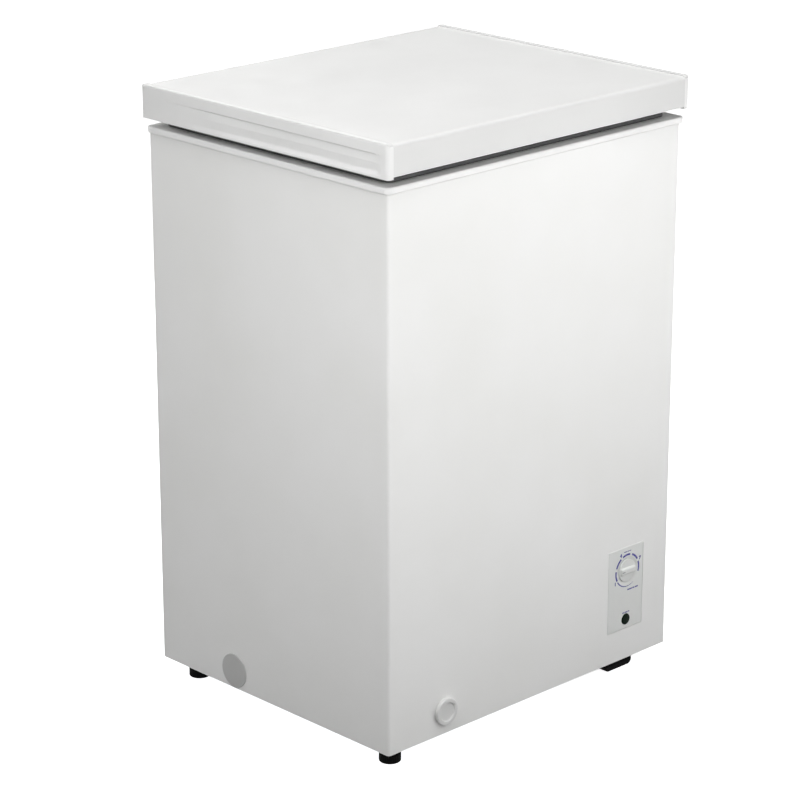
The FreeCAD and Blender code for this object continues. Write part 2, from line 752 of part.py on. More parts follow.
process_route = [(compressor_x, stub_end, process_z), (compressor_x, process_y, process_z),
                 (compressor_x, process_y, process_z + process_rise)]
keep("process_tube", pipe(process_route, thin_pipe_radius, thin_pipe_bend))
drier_radius = 9.0
drier_round = 4.0
drier_length = 62.0
drier_lift = 10.0
drier_tail = 14.0
drier_wall_gap = 26.0
drier_reach = 60.0
drier_x = room_left + drier_wall_gap
drier_y = shell_front - drier_reach
drier_bottom = pipe_z + drier_lift
drier_top = drier_bottom + drier_length
drier = rod((drier_x, drier_y, drier_bottom), (drier_x, drier_y, drier_top), drier_radius)
drier = rounded(drier, drier_round, lambda p, d: True)
drier_ends = [rod((drier_x, drier_y, drier_bottom - drier_tail), (drier_x, drier_y, drier_bottom + past),
                  thin_pipe_radius),
              rod((drier_x, drier_y, drier_top - past), (drier_x, drier_y, pipe_top), thin_pipe_radius)]
keep("filter_drier", joined([drier] + drier_ends))

# Grille over the machine room at the rear
grille_thickness = 1.6
grille_top_margin = 12.0
grille_left_margin = 6.0
grille_edge_gap = 3.0
grille_round = 4.0
grille_slot_height = 5.0
grille_slot_pitch = 13.0
grille_slot_lift = 44.0
grille_slot_inset = 18.0
grille_rib = 8.0
grille_rows = int((machine_room_height - grille_slot_lift - rear_room_margin) / grille_slot_pitch)
grille_face = rear + grille_thickness
grille_top = room_top + grille_top_margin
grille = block(room_left + grille_left_margin, right - grille_edge_gap, rear, grille_face,
               cabinet_bottom + grille_edge_gap, grille_top)
grille = rounded(grille, grille_round, lambda p, d: abs(d.y) > 0.99)
for i in range(grille_rows):
    slot_z = cabinet_bottom + grille_slot_lift + i * grille_slot_pitch
    for slot_left, slot_right in ((room_left + grille_slot_inset, compressor_x - grille_rib / 2),
                                  (compressor_x + grille_rib / 2, right - grille_slot_inset)):
        grille = grille.cut(block(slot_left, slot_right, rear - past, grille_face + past,
                                  slot_z, slot_z + grille_slot_height))
gland_inset = 30.0
gland_lift = 25.0
gland_hole = 8.0
gland_flange_radius = 11.0
gland_flange = 4.0
gland_nose_root = 8.0
gland_nose_tip = 5.5
gland_nose_length = 14.0
gland_bore = 3.6
gland_inside_length = 6.0
gland_x = room_left + gland_inset
gland_z = cabinet_bottom + gland_lift
gland_nose_start = grille_face + gland_flange
gland_end = gland_nose_start + gland_nose_length
grille = grille.cut(rod((gland_x, rear - past, gland_z), (gland_x, grille_face + past, gland_z), gland_hole))
keep("rear_grille", grille)

gland = joined([rod((gland_x, grille_face, gland_z), (gland_x, gland_nose_start, gland_z),
                    gland_flange_radius),
                rod((gland_x, grille_face, gland_z), (gland_x, rear - gland_inside_length, gland_z),
                    gland_hole - seat_gap),
                Part.makeCone(gland_nose_root, gland_nose_tip, gland_nose_length,
                              Vector(gland_x, gland_nose_start, gland_z), Vector(0, 1, 0))])
gland = gland.cut(rod((gland_x, rear - gland_inside_length - past, gland_z),
                      (gland_x, gland_end + past, gland_z),
                      gland_bore))
keep("power_cord_gland", gland)

grille_screw_left = room_left + 11.0
grille_screw_right = right - 9.0
grille_screw_low = cabinet_bottom + grille_slot_lift
grille_screw_high = grille_top - grille_top_margin / 2
grille_screw_places = [(x, z) for x in (grille_screw_left, grille_screw_right)
                       for z in (grille_screw_low, grille_screw_high)]
keep("grille_screws", group([screw((x, grille_face, z), (0, 1, 0), 3.6, 2.2, screw_radius, screw_length)
                             for x, z in grille_screw_places]))

# Spacers that keep the freezer off the wall
spacer_root_radius = 15.0
spacer_tip_radius = 10.0
spacer_round = 2.5
spacer_side_inset = 60.0
spacer_high = collar_bottom - 94.0
spacer_low = cabinet_bottom + 62.0
spacer_places = [(left + spacer_side_inset, spacer_high), (right - spacer_side_inset, spacer_high),
                 (left + spacer_side_inset, spacer_low)]
spacers = []
for x, z in spacer_places:
    cone = Part.makeCone(spacer_root_radius, spacer_tip_radius, rear_reach, Vector(x, rear, z),
                         Vector(0, 1, 0))
    spacers.append(rounded(cone, spacer_round, lambda p, d: near(p.y, rear + rear_reach)))
keep("wall_spacers", group(spacers))

# Feet
foot_places = {"foot_front_left": (left + foot_side_inset, front + foot_end_inset),
               "foot_rear_left": (left + foot_side_inset, rear - foot_end_inset)}
foot_pad_height = 12.0
foot_edge_round = 2.0
neck_root_step = 1.5
neck_top_step = 3.5
for name, (x, y) in foot_places.items():
    pad = rod((x, y, 0), (x, y, foot_pad_height), round_foot_radius)
    pad = rounded(pad, foot_edge_round, lambda p, d: near(p.z, 0))
    neck = Part.makeCone(round_foot_radius - neck_root_step, round_foot_radius - neck_top_step,
                         foot_height - foot_pad_height, Vector(x, y, foot_pad_height))
    keep(name, joined([pad, neck]))

block_right = right - block_foot_side_inset
for name, y0 in (("foot_front_right", front + block_foot_inset),
                 ("foot_rear_right", rear - block_foot_inset - block_foot_depth)):
    foot = block(block_right - block_foot_width, block_right, y0, y0 + block_foot_depth, 0, foot_height)
    foot = rounded(foot, block_foot_round, lambda p, d: abs(d.y) > 0.99 and near(p.z, 0))
    foot = rounded(foot, foot_edge_round, lambda p, d: upright(d))
    keep(name, foot)

plate_screw_left = right - 156.0
plate_screw_right = right - 25.0
plate_screw_end_inset = 22.0
plate_screw_places = [(x, y) for x in (plate_screw_left, plate_screw_right)
                      for y in (front + plate_screw_end_inset, rear - plate_screw_end_inset)]
keep("base_plate_screws", group([screw((x, y, plate_bottom), (0, 0, -1), 4.0, 3.0, 1.8, screw_length)
                                 for x, y in plate_screw_places]))

# Lid
trim_inner_left = lid_left + trim_width
trim_inner_right = lid_right - trim_width


def side_trim(side):
    """A lid end bar with a finger recess. It is built on the left and mirrored for the right."""
    bar = block(lid_left, trim_inner_left, lid_front, lid_rear, trim_bottom, overall_height)
    bar = rounded(bar, trim_round_corner, lambda p, d: upright(d) and near(p.x, lid_left))
    bar = rounded(bar, trim_round_top,
                  lambda p, d: near(p.z, overall_height) and not near(p.x, trim_inner_left))
    bottom = trim_bottom + recess_bottom_gap
    top = bottom + recess_height
    start = lid_front + recess_front_gap
    end = rear - recess_rear_gap
    floor_x = lid_left + recess_depth
    before = lid_left - past
    flat = [(before, start, top), (floor_x, start + recess_ramp, top), (floor_x, end - recess_ramp, top),
            (before, end, top)]
    pocket = prism(flat, (0, 0, -recess_height))
    slope = prism([(before, start - past, bottom - past), (floor_x + past, start - past, bottom - past),
                   (floor_x + past, start - past, bottom + recess_height * recess_slope_share),
                   (before, start - past, bottom)], (0, end - start + 2 * past, 0))
    bar = bar.cut(pocket.cut(slope))
    return bar if side < 0 else bar.mirror(Vector(0, 0, 0), Vector(1, 0, 0))


keep("lid_side_trim_left", side_trim(-1))
keep("lid_side_trim_right", side_trim(1))

lid_skin = block(trim_inner_left, trim_inner_right, lid_front, lid_rear, skirt_bottom, sheet_top)
lid_skin = rounded(lid_skin, skirt_round, lambda p, d: abs(d.x) > 0.99 and near(p.z, sheet_top))
lid_void = block(trim_inner_left, trim_inner_right, lid_front + lid_sheet, lid_rear - lid_sheet, skirt_bottom,
                 sheet_top - lid_sheet)
lid_void = rounded(lid_void, skirt_round - lid_sheet,
                   lambda p, d: abs(d.x) > 0.99 and near(p.z, sheet_top - lid_sheet))
keep("lid_outer_sheet", lid_skin.cut(lid_void))

# Inner panel of the lid, a flat flange with a shallow plug that hangs in the mouth of the store
panel_flange_bottom = skirt_bottom - lid_panel_sheet
plug_bottom = panel_flange_bottom - lid_plug_depth


def lid_plug(shrink, bottom, top):
    reach = lid_plug_gap + shrink
    shape = block(store_left + reach, store_right - reach, store_front + reach, store_rear - reach, bottom,
                  top)
    return rounded(shape, lid_plug_round - shrink, lambda p, d: upright(d))


flange_plate = block(trim_inner_left, trim_inner_right, lid_front + lid_panel_setback,
                     lid_rear - lid_panel_setback,
                     panel_flange_bottom, skirt_bottom)
inner_panel = flange_plate.fuse(lid_plug(0.0, plug_bottom, panel_flange_bottom + past))
hollow = lid_plug(lid_panel_sheet, plug_bottom + lid_panel_sheet, skirt_bottom + past)
keep("lid_inner_liner", inner_panel.cut(hollow).removeSplitter())

lid_filling = lid_void.common(block(lid_left, lid_right, lid_front, lid_rear, skirt_bottom, sheet_top))
lid_filling = lid_filling.fuse(lid_plug(lid_panel_sheet, plug_bottom + lid_panel_sheet, skirt_bottom + past))
keep("lid_foam", lid_filling.removeSplitter())

gasket_outer = rounded(block(lid_left + gasket_setback, lid_right - gasket_setback,
                             lid_front + gasket_setback,
                             lid_rear - gasket_setback, collar_top + touch_gap, panel_flange_bottom),
                       gasket_round, lambda p, d: upright(d))
gasket_hole = block(lid_left + gasket_setback + gasket_width, lid_right - gasket_setback - gasket_width,
                    lid_front + gasket_setback + gasket_width, lid_rear - gasket_setback - gasket_width,
                    collar_top, panel_flange_bottom + past)
keep("lid_gasket", gasket_outer.cut(gasket_hole))

# Hinges: brackets on the rear panel, pins, and leaves on the rear of the lid
bracket_top = collar_bottom - 2.0
bracket_bottom = bracket_top - bracket_height
bracket_round = 3.0
ear_inner = knuckle_length / 2 + touch_gap
ear_outer = ear_inner + ear_thickness
ear_front = rear + collar_overhang + 2.0
ear_rear = hinge_y + ear_radius
ear_root = bracket_top - 26.0
ear_root_depth = ear_thickness + 2.0
ear_slope_drop = 10.0
past_hinge = bracket_width
pin_head_radius = 4.5
pin_head = 2.5
pin_tail_radius = 4.0
pin_tail = 2.0
knuckle_radius = ear_radius - 1.0
bracket_screw_x = 11.0
bracket_screw_heights = (bracket_bottom + 9.0, bracket_bottom + 20.0)
leaf_screw_x = 6.5
leaf_screw_heights = (skirt_bottom + 12.0, skirt_bottom + 25.0)
brackets = []
pins = []
leaves = []
bracket_screw_list = []
leaf_screw_list = []
for x in (-hinge_spacing / 2, hinge_spacing / 2):
    plate = block(x - bracket_width / 2, x + bracket_width / 2, rear, rear + ear_thickness,
                  bracket_bottom, bracket_top)
    solids = [rounded(plate, bracket_round, lambda p, d: abs(d.y) > 0.99)]
    for ear_x in (x - ear_outer, x + ear_inner):
        web = prism([(ear_x, rear, ear_root), (ear_x, rear + ear_root_depth, ear_root),
                     (ear_x, ear_rear, hinge_z - ear_slope_drop), (ear_x, ear_rear, hinge_z),
                     (ear_x, ear_front, hinge_z), (ear_x, ear_front, bracket_top),
                     (ear_x, rear, bracket_top)],
                    (ear_thickness, 0, 0))
        head = rod((ear_x, hinge_y, hinge_z), (ear_x + ear_thickness, hinge_y, hinge_z), ear_radius)
        solids += [web, head]
    bore_start = (x - past_hinge, hinge_y, hinge_z)
    bore_end = (x + past_hinge, hinge_y, hinge_z)
    brackets.append(joined(solids).cut(rod(bore_start, bore_end, pin_radius)))
    bracket_screw_list += [screw((x + side * bracket_screw_x, rear + ear_thickness, z), (0, 1, 0), 4.0, 2.4,
                                 screw_radius, screw_length)
                           for side in (-1, 1) for z in bracket_screw_heights]
    head_start = x - ear_outer - pin_head
    tail_start = x + ear_outer
    pins.append(joined([rod((x - ear_outer - past, hinge_y, hinge_z), (tail_start, hinge_y, hinge_z),
                            pin_radius),
                        rod((head_start, hinge_y, hinge_z), (x - ear_outer, hinge_y, hinge_z),
                            pin_head_radius),
                        rod((tail_start, hinge_y, hinge_z), (tail_start + pin_tail, hinge_y, hinge_z),
                            pin_tail_radius)]))
    half = knuckle_length / 2
    knuckle = rod((x - half, hinge_y, hinge_z), (x + half, hinge_y, hinge_z), knuckle_radius)
    leaf_plate = block(x - half, x + half, lid_rear, lid_rear + leaf_thickness, hinge_z,
                       skirt_bottom + leaf_height)
    leaf_plate = rounded(leaf_plate, bracket_round, lambda p, d: abs(d.y) > 0.99 and p.z > hinge_z + past)
    leaves.append(joined([knuckle, leaf_plate]).cut(rod(bore_start, bore_end, pin_radius + pin_fit)))
    leaf_screw_list += [screw((x + side * leaf_screw_x, lid_rear + leaf_thickness, z), (0, 1, 0), 3.4, 2.0,
                              screw_radius, screw_length) for side in (-1, 1) for z in leaf_screw_heights]
keep("hinge_brackets", group(brackets))
keep("hinge_pins", group(pins))
keep("hinge_leaves", group(leaves))
keep("hinge_screws", group(bracket_screw_list))
keep("leaf_screws", group(leaf_screw_list))

# Basket: welded wire grids, with hooks that hang on the collar's ledge
basket_side_gap = 10.0
basket_end_gap = 6.0
basket_right = store_right - basket_side_gap
basket_left = basket_right - basket_width
basket_front = store_front + basket_end_gap
basket_rear = store_rear - basket_end_gap
hang_z = collar_top - collar_ledge_depth + touch_gap + basket_frame_wire
basket_bottom = hang_z - basket_depth_down
weld_sink = 0.5          # how far crossing wires sink into each other where they are welded
cross_step = 2 * basket_wire - weld_sink
frame_step = basket_wire + basket_frame_wire - weld_sink


def wires(start, end, count, last_start, radius):
    """Parallel wires, spread evenly from the first start to the last."""
    first = Vector(*start)
    spread = Vector(*last_start) - first
    run = Vector(*end) - first
    shares = [i / (count - 1) for i in range(count)]
    return [Part.makeCylinder(radius, run.Length, first + spread * share, run) for share in shares]


cross_count = round((basket_rear - basket_front) / basket_pitch) + 1
long_count = round((basket_right - basket_left) / basket_pitch) + 1
row_count = round(basket_depth_down / (2 * basket_pitch))
row_rise = basket_depth_down / (row_count + 1)

# The floor lies inside the four walls
floor_inset = basket_wire + weld_sink
floor_left = basket_left + floor_inset
floor_right = basket_right - floor_inset
floor_front = basket_front + floor_inset
floor_rear = basket_rear - floor_inset
edge = 2 * basket_wire
floor_grid = wires((floor_left, floor_front + edge, basket_bottom),
                   (floor_right, floor_front + edge, basket_bottom),
                   cross_count, (floor_left, floor_rear - edge, basket_bottom), basket_wire)
long_z = basket_bottom + cross_step
floor_grid += wires((floor_left + edge, floor_front, long_z), (floor_left + edge, floor_rear, long_z),
                    long_count, (floor_right - edge, floor_front, long_z), basket_wire)
keep("basket_floor", joined(floor_grid))

wall_bottom = basket_bottom - basket_wire
first_row = wall_bottom + row_rise
last_row = hang_z - row_rise
side_front = basket_front + 2 * edge
side_rear = basket_rear - 2 * edge
for name, x, out in (("basket_left_side", basket_left, -1), ("basket_right_side", basket_right, 1)):
    bar_x = x + out * cross_step
    rail_x = x + out * frame_step
    grid = wires((x, side_front, wall_bottom), (x, side_front, hang_z), cross_count,
                 (x, side_rear, wall_bottom), basket_wire)
    grid += wires((bar_x, basket_front, first_row), (bar_x, basket_rear, first_row), row_count,
                  (bar_x, basket_front, last_row), basket_wire)
    grid.append(rod((rail_x, basket_front, hang_z - basket_wire), (rail_x, basket_rear, hang_z - basket_wire),
                    basket_frame_wire))
    keep(name, joined(grid))

end_left = basket_left + edge
end_right = basket_right - edge
hook_clearance = 1.0
hook_reach = basket_front - (store_front - collar_ledge_width) - basket_frame_wire - hook_clearance
hook_inset = 16.0
hook_bend = 4.0
hook_gap = 0.1
hangers = []
for name, y, out in (("basket_front_end", basket_front, -1), ("basket_rear_end", basket_rear, 1)):
    bar_y = y + out * -cross_step
    rail_y = y + out * -frame_step
    hook_y = y + out * hook_reach
    grid = wires((end_left + edge, y, wall_bottom), (end_left + edge, y, hang_z - 2 * basket_wire),
                 long_count,
                 (end_right - edge, y, wall_bottom), basket_wire)
    grid += wires((end_left, bar_y, first_row), (end_right, bar_y, first_row), row_count,
                  (end_left, bar_y, last_row), basket_wire)
    grid.append(rod((end_left, rail_y, hang_z - 2 * basket_wire),
                    (end_right, rail_y, hang_z - 2 * basket_wire),
                    basket_frame_wire))
    keep(name, joined(grid))
    hook_root = y + out * (basket_wire + hook_gap)
    hangers.append(pipe([(end_left + hook_inset, hook_root, hang_z), (end_left + hook_inset, hook_y, hang_z),
                         (end_right - hook_inset, hook_y, hang_z),
                         (end_right - hook_inset, hook_root, hang_z)],
                        basket_frame_wire, hook_bend))
keep("basket_hangers", group(hangers))

# Holes that each group of screws leaves in what it fastens
fastened = {
    "base_plate_screws": ["compressor_base_plate"],
    "grille_screws": ["rear_grille", "rear_panel", "cabinet_foam"],
    "hinge_screws": ["hinge_brackets", "rear_panel", "cabinet_foam"],
    "leaf_screws": ["hinge_leaves", "lid_outer_sheet", "lid_foam"],
}
for screws, hosts in fastened.items():
    for host in hosts:
        pieces[host] = pieces[host].cut(pieces[screws])

os.makedirs("parts", exist_ok=True)
for name, shape in pieces.items():
    shape.exportStep("parts/" + name + ".step")
    print(name, len(shape.Solids), round(shape.Volume), shape.isValid())
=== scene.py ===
import json
import math

import bmesh
import bpy
from mathutils import Matrix, Vector


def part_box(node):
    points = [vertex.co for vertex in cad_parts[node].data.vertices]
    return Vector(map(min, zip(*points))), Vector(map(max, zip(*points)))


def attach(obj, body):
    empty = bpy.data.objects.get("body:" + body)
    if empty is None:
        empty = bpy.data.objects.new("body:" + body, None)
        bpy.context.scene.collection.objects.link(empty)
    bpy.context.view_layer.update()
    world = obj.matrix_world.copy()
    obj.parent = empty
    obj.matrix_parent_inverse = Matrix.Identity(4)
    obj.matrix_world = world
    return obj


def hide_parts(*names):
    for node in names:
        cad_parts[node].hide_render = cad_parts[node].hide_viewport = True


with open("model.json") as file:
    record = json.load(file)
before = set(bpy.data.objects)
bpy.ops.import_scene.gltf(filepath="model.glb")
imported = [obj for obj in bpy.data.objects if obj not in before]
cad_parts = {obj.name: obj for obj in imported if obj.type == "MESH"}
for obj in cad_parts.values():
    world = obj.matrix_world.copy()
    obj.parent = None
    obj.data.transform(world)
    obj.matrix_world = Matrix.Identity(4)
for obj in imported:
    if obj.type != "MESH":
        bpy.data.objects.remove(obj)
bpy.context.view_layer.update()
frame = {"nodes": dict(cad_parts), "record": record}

mm = 0.001
scene = bpy.context.scene
scene.view_settings.view_transform = "Standard"  # whites stay white, as on a product sheet


# colours, nodes and materials

def colour(hexText):
    channels = [int(hexText[i:i + 2], 16) / 255 for i in (1, 3, 5)]
    linear = [c / 12.92 if c <= 0.04045 else ((c + 0.055) / 1.055) ** 2.4 for c in channels]
    return (*linear, 1.0)


def addNode(tree, kind, inputs=None, links=None, **settings):
    node = tree.nodes.new(kind)
    for name, value in settings.items():
        setattr(node, name, value)
    for name, value in (inputs or {}).items():
        node.inputs[name].default_value = value
    for name, source in (links or {}).items():
        tree.links.new(source, node.inputs[name])
    return node


def newMaterial(name, constants):
    material = bpy.data.materials.new(name)
    material.use_nodes = True
    tree = material.node_tree
    tree.nodes.clear()
    shader = addNode(tree, "ShaderNodeBsdfPrincipled", constants)
    addNode(tree, "ShaderNodeOutputMaterial", links={"Surface": shader.outputs["BSDF"]})
    coordinates = addNode(tree, "ShaderNodeTexCoord").outputs["Object"]
    return material, tree, shader, coordinates


def perMetre(sizeMm):
    return 1000.0 / sizeMm  # how many of a pattern's cells fit in a metre


def dressSurface(tree, shader, at, look, patterns=None):
    # colour, gloss and relief each follow a noise of their own, or a pattern that is handed in;
    # a noise is given as its cell in mm, its detail and, where it isn't 0.5, its roughness
    heights = dict(patterns or {})
    for use in ("tone", "gloss", "relief"):
        if use + "Noise" in look:
            cellMm, detail, *coarse = look[use + "Noise"]
            heights[use] = addNode(tree, "ShaderNodeTexNoise", {
                "Scale": perMetre(cellMm), "Detail": detail, "Roughness": coarse[0] if coarse else 0.5},
                {"Vector": at}).outputs["Fac"]
    start, end = look.get("toneSpan", (0.3, 0.7))
    low, high = look["tones"]
    share = addNode(tree, "ShaderNodeMapRange", {"From Min": start, "From Max": end},
                    {"Value": heights["tone"]})
    shade = addNode(tree, "ShaderNodeMix", {6: colour(low), 7: colour(high)}, {0: share.outputs["Result"]},
                    data_type="RGBA")
    tree.links.new(shade.outputs[2], shader.inputs["Base Color"])
    if "gloss" in heights:
        start, end = look.get("glossSpan", (0.3, 0.7))
        low, high = look["roughness"]
        dulled = addNode(tree, "ShaderNodeMapRange",
                         {"From Min": start, "From Max": end, "To Min": low, "To Max": high},
                         {"Value": heights["gloss"]})
        tree.links.new(dulled.outputs["Result"], shader.inputs["Roughness"])
    if "relief" in heights:
        bump = addNode(tree, "ShaderNodeBump", {"Strength": 1.0, "Distance": look["deepMm"] * mm},
                       {"Height": heights["relief"]})
        tree.links.new(bump.outputs["Normal"], shader.inputs["Normal"])


def bakedEnamelSteel(name, tones, coat=0.35, specular=0.5):
    # sheet steel with baked white powder enamel: soft broad highlights with a faint orange peel in them
    look = {"tones": tones, "toneNoise": (160.0, 2.0), "roughness": (0.34, 0.42), "glossNoise": (45.0, 4.0),
            "reliefNoise": (2.4, 2.0), "deepMm": 0.012}
    material, tree, shader, at = newMaterial(name, {
        "IOR": 1.5, "Coat Weight": coat, "Coat Roughness": 0.12, "Coat IOR": 1.5,
        "Specular IOR Level": specular})
    dressSurface(tree, shader, at, look)
    return material


def mouldedWhite(name, tones, rough, grainMm=0.9, specular=0.5, coat=0.0, deepMm=0.01):
    # injection moulded white plastic: a shade greyer than the enamel, satin, with a very fine spark texture
    look = {"tones": tones, "toneNoise": (90.0, 2.0), "roughness": (rough - 0.04, rough + 0.05),
            "glossNoise": (12.0, 5.0), "reliefNoise": (grainMm, 2.0), "deepMm": deepMm}
    material, tree, shader, at = newMaterial(name, {
        "IOR": 1.53, "Specular IOR Level": specular, "Subsurface Weight": 0.06, "Subsurface Scale": 0.004,
        "Subsurface Radius": (1.0, 1.0, 1.0), "Coat Weight": coat, "Coat Roughness": 0.3})
    dressSurface(tree, shader, at, look)
    return material


def mouldedBlack(name, tones, rough):
    # moulded black plastic: a matt, slightly pebbled skin that shows only as a soft sheen
    look = {"tones": tones, "toneNoise": (25.0, 3.0), "roughness": (rough - 0.08, rough + 0.08),
            "glossNoise": (8.0, 4.0), "pebbleMm": 1.1, "deepMm": 0.04}
    material, tree, shader, at = newMaterial(name, {"IOR": 1.49, "Specular IOR Level": 0.04})
    pebble = addNode(tree, "ShaderNodeTexVoronoi", {"Scale": perMetre(look["pebbleMm"])}, {"Vector": at})
    dressSurface(tree, shader, at, look, {"relief": pebble.outputs["Distance"]})
    return material


def softVinylSeal():
    # extruded grey PVC: matt, with long faint drawing lines and a slight bloom
    look = {"tones": ("#4C4D4D", "#5B5C5C"), "toneNoise": (30.0, 4.0), "roughness": (0.55, 0.7),
            "glossNoise": (6.0, 3.0), "lineMm": 9.0, "deepMm": 0.05}
    material, tree, shader, at = newMaterial("softVinylSeal", {"IOR": 1.52, "Sheen Weight": 0.15})
    lines = addNode(tree, "ShaderNodeTexWave", {
        "Scale": perMetre(look["lineMm"]), "Distortion": 0.4, "Detail": 1.0},
        {"Vector": at}, wave_type="BANDS", bands_direction="Z")
    dressSurface(tree, shader, at, look, {"relief": lines.outputs["Fac"]})
    return material


def stuccoAluminium():
    # embossed aluminium sheet, as freezer stores are lined with: a close random orange-skin stamp;
    # the real stamp repeats every 5 mm or so, and is drawn at twice that to show at arm's length
    look = {"tones": ("#B4B8BA", "#F2F4F4"), "toneSpan": (0.08, 0.5), "roughness": (0.26, 0.38),
            "glossNoise": (14.0, 4.0), "stampMm": 10.0, "stampSoft": 0.6, "warpMm": 18.0,
            "warpShare": 0.012, "deepMm": 1.8}
    material, tree, shader, at = newMaterial("stuccoAluminium", {"Metallic": 0.82})
    warp = addNode(tree, "ShaderNodeTexNoise", {"Scale": perMetre(look["warpMm"]), "Detail": 1.0},
                   {"Vector": at})
    moved = addNode(tree, "ShaderNodeMix", {0: look["warpShare"]}, {4: at, 5: warp.outputs["Color"]},
                    data_type="VECTOR")
    stamp = addNode(tree, "ShaderNodeTexVoronoi", {
        "Scale": perMetre(look["stampMm"]), "Smoothness": look["stampSoft"]},
        {"Vector": moved.outputs[1]}, feature="SMOOTH_F1")
    height = stamp.outputs["Distance"]
    # the tone follows the stamp, darker in its hollows: partly dirt and oxide held there, partly painted
    # shade of the hollows
    dressSurface(tree, shader, at, look, {"tone": height, "relief": height})
    return material


def galvanisedSteel():
    # hot-dip zinc: flat crystal spangles that differ in shade and gloss
    look = {"tones": ("#8F9498", "#B9BDC0"), "toneSpan": (0.0, 1.0), "roughness": (0.32, 0.5),
            "glossSpan": (0.0, 1.0), "reliefNoise": (3.0, 3.0), "spangleMm": 14.0, "deepMm": 0.015}
    material, tree, shader, at = newMaterial("galvanisedSteel", {"Metallic": 1.0})
    spangle = addNode(tree, "ShaderNodeTexVoronoi", {
        "Scale": perMetre(look["spangleMm"]), "Randomness": 1.0}, {"Vector": at})
    parted = addNode(tree, "ShaderNodeSeparateColor", links={"Color": spangle.outputs["Color"]})
    shade = parted.outputs["Red"]
    dressSurface(tree, shader, at, look, {"tone": shade, "gloss": shade})
    return material


def zincPlated():
    # bright zinc on small steel parts: pale, cool and evenly satin
    look = {"tones": ("#B4B8BA", "#CFD2D2"), "toneNoise": (3.0, 3.0), "roughness": (0.25, 0.38),
            "glossNoise": (1.5, 3.0), "reliefNoise": (0.6, 2.0), "deepMm": 0.01}
    material, tree, shader, at = newMaterial("zincPlatedScrew", {"Metallic": 1.0})
    dressSurface(tree, shader, at, look)
    return material


def drawnCopper():
    # drawn copper tube: warm metal with browner handled patches
    look = {"tones": ("#8A5238", "#C98762"), "toneNoise": (22.0, 5.0, 0.65), "roughness": (0.24, 0.42),
            "glossNoise": (9.0, 4.0), "reliefNoise": (1.2, 3.0), "deepMm": 0.01}
    material, tree, shader, at = newMaterial("drawnCopper", {"Metallic": 1.0})
    dressSurface(tree, shader, at, look)
    return material


def blackEnamelSteel():
    # dipped black enamel on pressed steel: deep, wet gloss with slow runs in it
    look = {"tones": ("#0B0B0C", "#151517"), "toneNoise": (40.0, 3.0), "roughness": (0.24, 0.38),
            "glossNoise": (18.0, 4.0), "reliefNoise": (4.0, 2.0), "deepMm": 0.03}
    material, tree, shader, at = newMaterial("blackEnamelSteel", {
        "IOR": 1.5, "Coat Weight": 0.5, "Coat Roughness": 0.08})
    dressSurface(tree, shader, at, look)
    return material


def rigidFoam(name, tones):
    # rigid insulating foam: fully matt, with fine open cells where it was cut
    look = {"tones": tones, "toneNoise": (30.0, 4.0), "roughness": (0.85, 0.95), "glossNoise": (6.0, 2.0),
            "cellMm": 1.6, "deepMm": 0.25}
    material, tree, shader, at = newMaterial(name, {"IOR": 1.4})
    cells = addNode(tree, "ShaderNodeTexVoronoi", {"Scale": perMetre(look["cellMm"])}, {"Vector": at})
    dressSurface(tree, shader, at, look, {"relief": cells.outputs["Distance"]})
    return material


def coatedWire():
    # steel wire dipped in white epoxy: glossy, a little thick at the welds
    look = {"tones": ("#ECEDEB", "#F5F5F3"), "toneNoise": (25.0, 3.0), "roughness": (0.25, 0.35),
            "glossNoise": (8.0, 3.0), "reliefNoise": (2.0, 2.0), "deepMm": 0.04}
    material, tree, shader, at = newMaterial("coatedWire", {
        "IOR": 1.5, "Coat Weight": 0.4, "Coat Roughness": 0.1})
    dressSurface(tree, shader, at, look)
    return material


def blackRubber():
    # moulded nitrile rubber: dead matt with a dusty grey bloom
    look = {"tones": ("#0C0C0D", "#1B1B1C"), "toneNoise": (6.0, 5.0), "roughness": (0.7, 0.85),
            "glossNoise": (4.0, 3.0), "reliefNoise": (0.7, 2.0), "deepMm": 0.03}
    material, tree, shader, at = newMaterial("blackRubber", {"IOR": 1.52, "Sheen Weight": 0.2})
    dressSurface(tree, shader, at, look)
    return material


def signalLens():
    # clear green polystyrene over an unlit lamp: nearly black, smooth, with a hint of green
    look = {"tones": ("#03180A", "#051E0D"), "toneNoise": (5.0, 2.0), "roughness": (0.05, 0.1),
            "glossNoise": (3.0, 2.0), "reliefNoise": (1.6, 1.0), "deepMm": 0.02}
    material, tree, shader, at = newMaterial("signalLens", {"IOR": 1.59, "Specular IOR Level": 0.02})
    dressSurface(tree, shader, at, look)
    return material


def printedInk():
    # screen printed violet-blue ink: thin, flat and a touch uneven at this scale
    look = {"tones": ("#17177C", "#22228C"), "toneNoise": (1.4, 4.0), "roughness": (0.4, 0.55),
            "glossNoise": (2.0, 3.0), "reliefNoise": (0.5, 2.0), "deepMm": 0.006}
    material, tree, shader, at = newMaterial("printedInk", {"IOR": 1.5})
    dressSurface(tree, shader, at, look)
    return material


def pointerPaint():
    # grey marking paint pressed into the knob: matt and slightly uneven
    look = {"tones": ("#7E8084", "#929498"), "toneNoise": (1.2, 3.0), "roughness": (0.5, 0.65),
            "glossNoise": (1.0, 3.0), "reliefNoise": (0.4, 2.0), "deepMm": 0.006}
    material, tree, shader, at = newMaterial("pointerPaint", {"IOR": 1.5})
    dressSurface(tree, shader, at, look)
    return material


